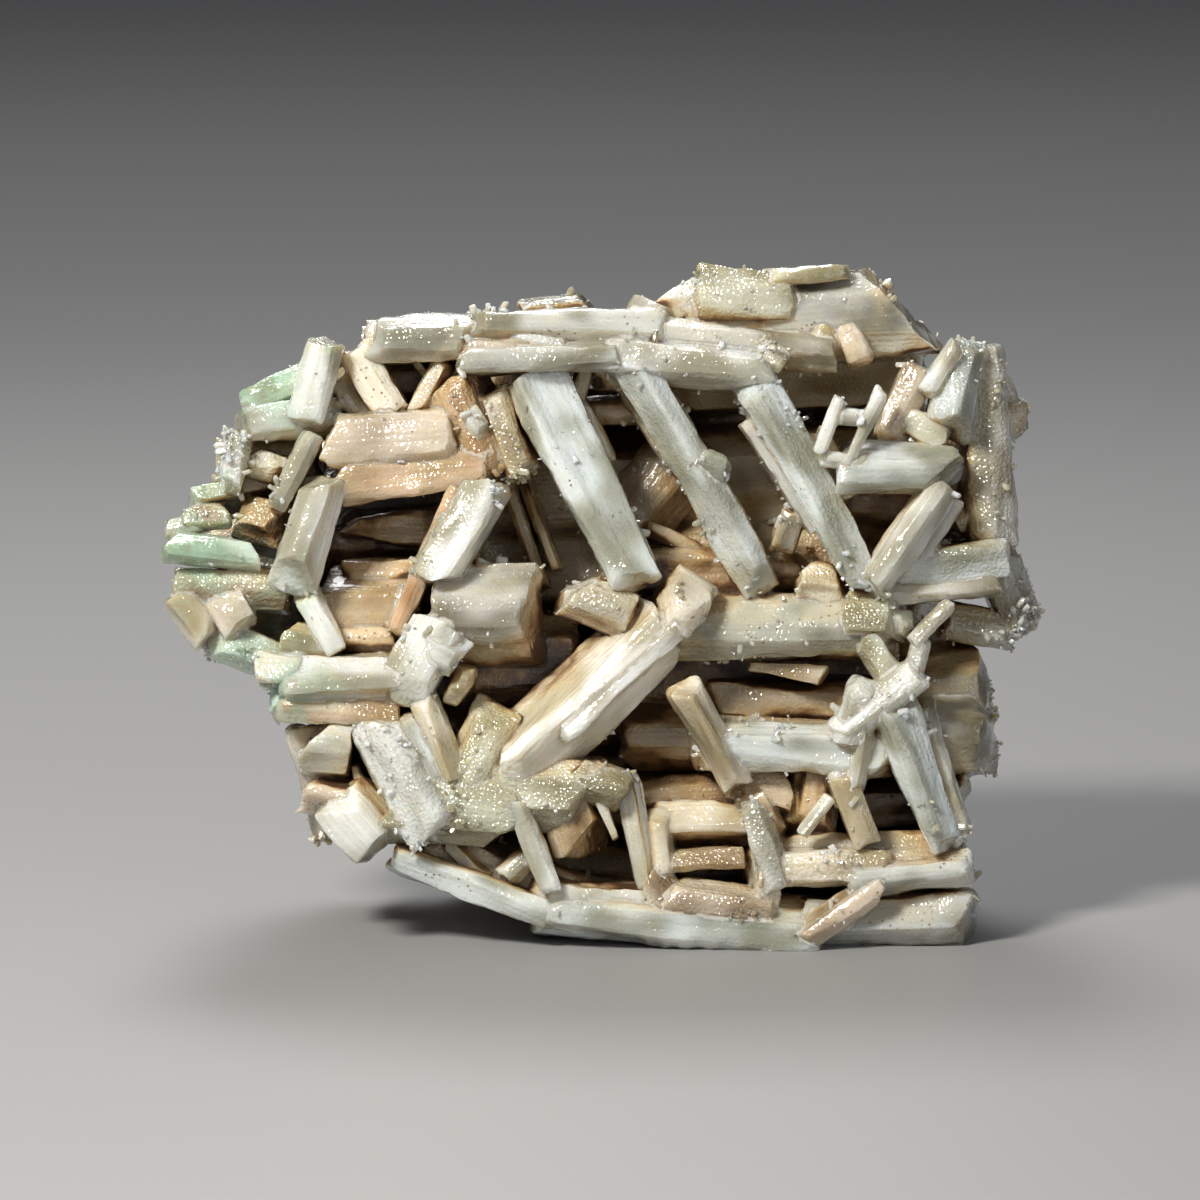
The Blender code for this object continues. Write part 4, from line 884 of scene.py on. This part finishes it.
def softened(grid, radius):
    """The mean over a box of cells round each one, from differences of running sums along each axis."""
    for axis in range(3):
        pad = [(radius + 1, radius) if k == axis else (0, 0) for k in range(3)]
        summed = np.cumsum(np.pad(grid, pad), axis=axis)
        high = np.take(summed, range(2 * radius + 1, summed.shape[axis]), axis=axis)
        low = np.take(summed, range(0, summed.shape[axis] - 2 * radius - 1), axis=axis)
        grid = (high - low) / (2 * radius + 1)
    return grid


FILLED = filled_grid()
DENSITY = softened(softened(FILLED, 2), 2)
WIDE_DENSITY = softened(softened(FILLED, 4), 4)


def density_near(spots, ways, away, grid):
    """How much crystal surrounds a point some way off the surface: the eight nearest cells, blended."""
    cells = (spots + ways * away - GRID_LOW) / GRID_STEP
    cells = np.clip(cells, 0, np.array(GRID_COUNTS) - 1.001)
    low = np.floor(cells).astype(int)
    share = cells - low
    total = np.zeros(len(spots))
    for corner in range(8):
        step = np.array((corner & 1, corner >> 1 & 1, corner >> 2 & 1))
        at = low + step
        total += np.where(step, share, 1 - share).prod(axis=1) * grid[at[:, 0], at[:, 1], at[:, 2]]
    return total


FRONT_PIECES = list(PIECES[:-1])
dressed(druse_on("front_druse", FRONT_PIECES, 1800, 0.25, 0.95, 5), MILKY)
dressed(druse_on("front_joint_crystals", FRONT_PIECES, 360, 0.4, 1.1, 15, "joint", 0.8), MILKY)
dressed(druse_on("back_druse", PIECES[7:8], 700, 0.4, 1.3, 6), MILKY)
dressed(druse_on("back_joint_crystals", PIECES[7:8], 220, 0.6, 1.6, 16, "joint", 0.8), MILKY)

# Stain and painted shade. Water ran through the open lattice and left iron in the hollows, honey to
# rust brown, and copper at the left end, blue-green. How much crystal closes round a point also darkens
# it there as painted shade. Spots are face points in mm: across, down, radius, strength.

IRON_SPOTS = (
    (88.4, 29.0, 2.0, 0.55),
    (36.0, 48.4, 4.0, 0.34),
    (43.5, 46.8, 4.5, 0.3),
    (46.8, 40.6, 3.8, 0.3),
    (25.6, 52.0, 2.2, 0.4),
    (36.0, 62.0, 4.6, 0.26),
    (81.0, 78.6, 3.0, 0.45),
    (42.0, 57.0, 2.6, 0.34),
    (66.0, 30.0, 1.6, 0.4),
    (85.4, 35.0, 1.6, 0.4),
    (34.6, 76.6, 2.4, 0.4),
    (53.0, 51.0, 3.6, 0.3),
)
COPPER_SPOTS = (
    (27.0, 38.6, 4.6, 0.95),
    (20.6, 49.0, 2.6, 0.8),
    (20.0, 55.6, 5.0, 0.8),
    (28.0, 60.4, 3.6, 0.55),
    (28.6, 69.2, 3.8, 0.85),
    (24.0, 65.4, 3.4, 0.6),
    (46.0, 80.0, 7.0, 0.12),
)


def spotted(points, spots, seed):
    """The strongest of the spots at each point, each falling off as exp(-(distance/radius)^2), with the
    distance shaken by noise so that its edge is ragged."""
    face = (points + (0, FACE_TO_MIDDLE, 0)) @ FACE_AXES
    across, down = face[:, 0] + FACE_LOW_POINT[0], FACE_LOW_POINT[1] - face[:, 1]
    shaken = 1 + 0.45 * noise(points * 0.45, seed) + 0.25 * noise(points * 1.4, seed + 1)
    found = np.zeros(len(points))
    for x, y, radius, strength in spots:
        away = np.hypot(across - x, down - y) * shaken / radius
        found = np.maximum(found, strength * np.exp(-away * away))
    return found * np.clip(1.6 - face[:, 2] / 18, 0, 1)


def stained_and_shaded(piece):
    """Writes how deep in a hollow each point lies, which the material turns into iron stain and painted
    shade, and how much iron and copper the water left there.
    """
    made = piece.data
    points = values_of(made.vertices, "co", np.float32, 3).astype(float) * 1000
    normals = values_of(made.vertex_normals, "vector", np.float32, 3).astype(float)
    near, wide = density_near(points, normals, 3.0, DENSITY), density_near(points, normals, 6.0, WIDE_DENSITY)
    spared_stain_shade = values_of(made.attributes["spared_stain_shade"].data, "value", np.float32) if "spared_stain_shade" in made.attributes else 0.2
    # hollow: crystal closing round each point, shown in the material as painted shade with iron stain
    write_values(made, "hollow", "FLOAT", 0.5 * near + wide - spared_stain_shade)
    write_values(made, "rust", "FLOAT", spotted(points, IRON_SPOTS, 41))
    write_values(made, "copper", "FLOAT", spotted(points, COPPER_SPOTS, 51))


for piece in PIECES:
    stained_and_shaded(piece)

# The stage: one pale matt sheet, level under the specimen and curving up far behind it.

SHEET_HALF_WIDTH = 2.2
SHEET_FRONT = -1.6
SHEET_BEND = 2.6
SHEET_RADIUS = 0.5
SHEET_TOP = 2.0


def backdrop():
    """A profile of a level line, a quarter circle and an upright, carried straight across."""
    turn = np.linspace(0, math.pi / 2, 24)
    bend = SHEET_BEND + SHEET_RADIUS * np.sin(turn)
    y = np.concatenate(((SHEET_FRONT,), bend, (SHEET_BEND + SHEET_RADIUS,)))
    z = np.concatenate(((0.0,), SHEET_RADIUS * (1 - np.cos(turn)), (SHEET_TOP,)))
    rows = np.arange(len(y) - 1)
    sides = (-SHEET_HALF_WIDTH, SHEET_HALF_WIDTH)
    points = np.concatenate([np.stack((np.full(len(y), x), y, z), axis=-1) for x in sides])
    faces = np.stack((rows, rows + len(y), rows + len(y) + 1, rows + 1), axis=-1)
    made = bpy.data.meshes.new("backdrop")
    made.from_pydata(points.tolist(), [], faces.tolist())
    made.shade_smooth()
    sheet = bpy.data.objects.new("backdrop", made)
    bpy.context.scene.collection.objects.link(sheet)
    paint = bpy.data.materials.new("pale_matt_card")
    paint.use_nodes = True
    paint.node_tree.nodes["Principled BSDF"].inputs["Base Color"].default_value = hexed("#8A8A8A")
    paint.node_tree.nodes["Principled BSDF"].inputs["Roughness"].default_value = 0.55
    made.materials.append(paint)


def lamp(name, place, target, size, power, colour="#FFFFFF"):
    """A square soft lamp at a place in metres, turned to a target."""
    data = bpy.data.lights.new(name, "AREA")
    data.size = size
    data.energy = power
    data.color = linear(colour)
    item = bpy.data.objects.new(name, data)
    item.location = place
    item.rotation_euler = (Vector(target) - Vector(place)).to_track_quat("-Z", "Y").to_euler()
    bpy.context.scene.collection.objects.link(item)


backdrop()
MIDDLE = (0.0, 0.0, 0.034)
lamp("key", (-0.3, -0.4, 0.46), MIDDLE, 0.12, 6.6, "#FFFAF2")
lamp("rim", (-0.05, 0.3, 0.42), MIDDLE, 0.16, 1.1, "#FFFFFF")
lamp("fill", (0.5, -0.7, 0.3), MIDDLE, 0.5, 1.3, "#F4F4F6")
lamp("top", (-0.1, 0.7, 0.9), (0.0, 0.9, 0.0), 0.8, 4.0, "#FFFFFF")

air = bpy.data.worlds.new("room")
air.use_nodes = True
air.node_tree.nodes["Background"].inputs["Color"].default_value = hexed("#B9BCC2")
air.node_tree.nodes["Background"].inputs["Strength"].default_value = 0.3
bpy.context.scene.world = air
bpy.context.scene.view_settings.view_transform = "Standard"

# The camera looks square on to the face, a little down, through a long lens. 120 mm of the face fills
# the picture's width, as in the photograph.

PICTURE_MM = 120.0
LENS_MM = 200.0
SENSOR_MM = 36.0
FACE_CENTRE = (60.0, 60.0)
camera = bpy.data.objects.new("camera", bpy.data.cameras.new("camera"))
camera.data.lens = LENS_MM
camera.data.sensor_width = SENSOR_MM
near = face_point(*FACE_CENTRE, 5.0 - PICTURE_MM * LENS_MM / SENSOR_MM) / 1000
aimed = face_point(*FACE_CENTRE, 5.0) / 1000
camera.location = near
camera.rotation_euler = Vector(aimed - near).to_track_quat("-Z", "Y").to_euler()
bpy.context.scene.collection.objects.link(camera)
bpy.context.scene.camera = camera
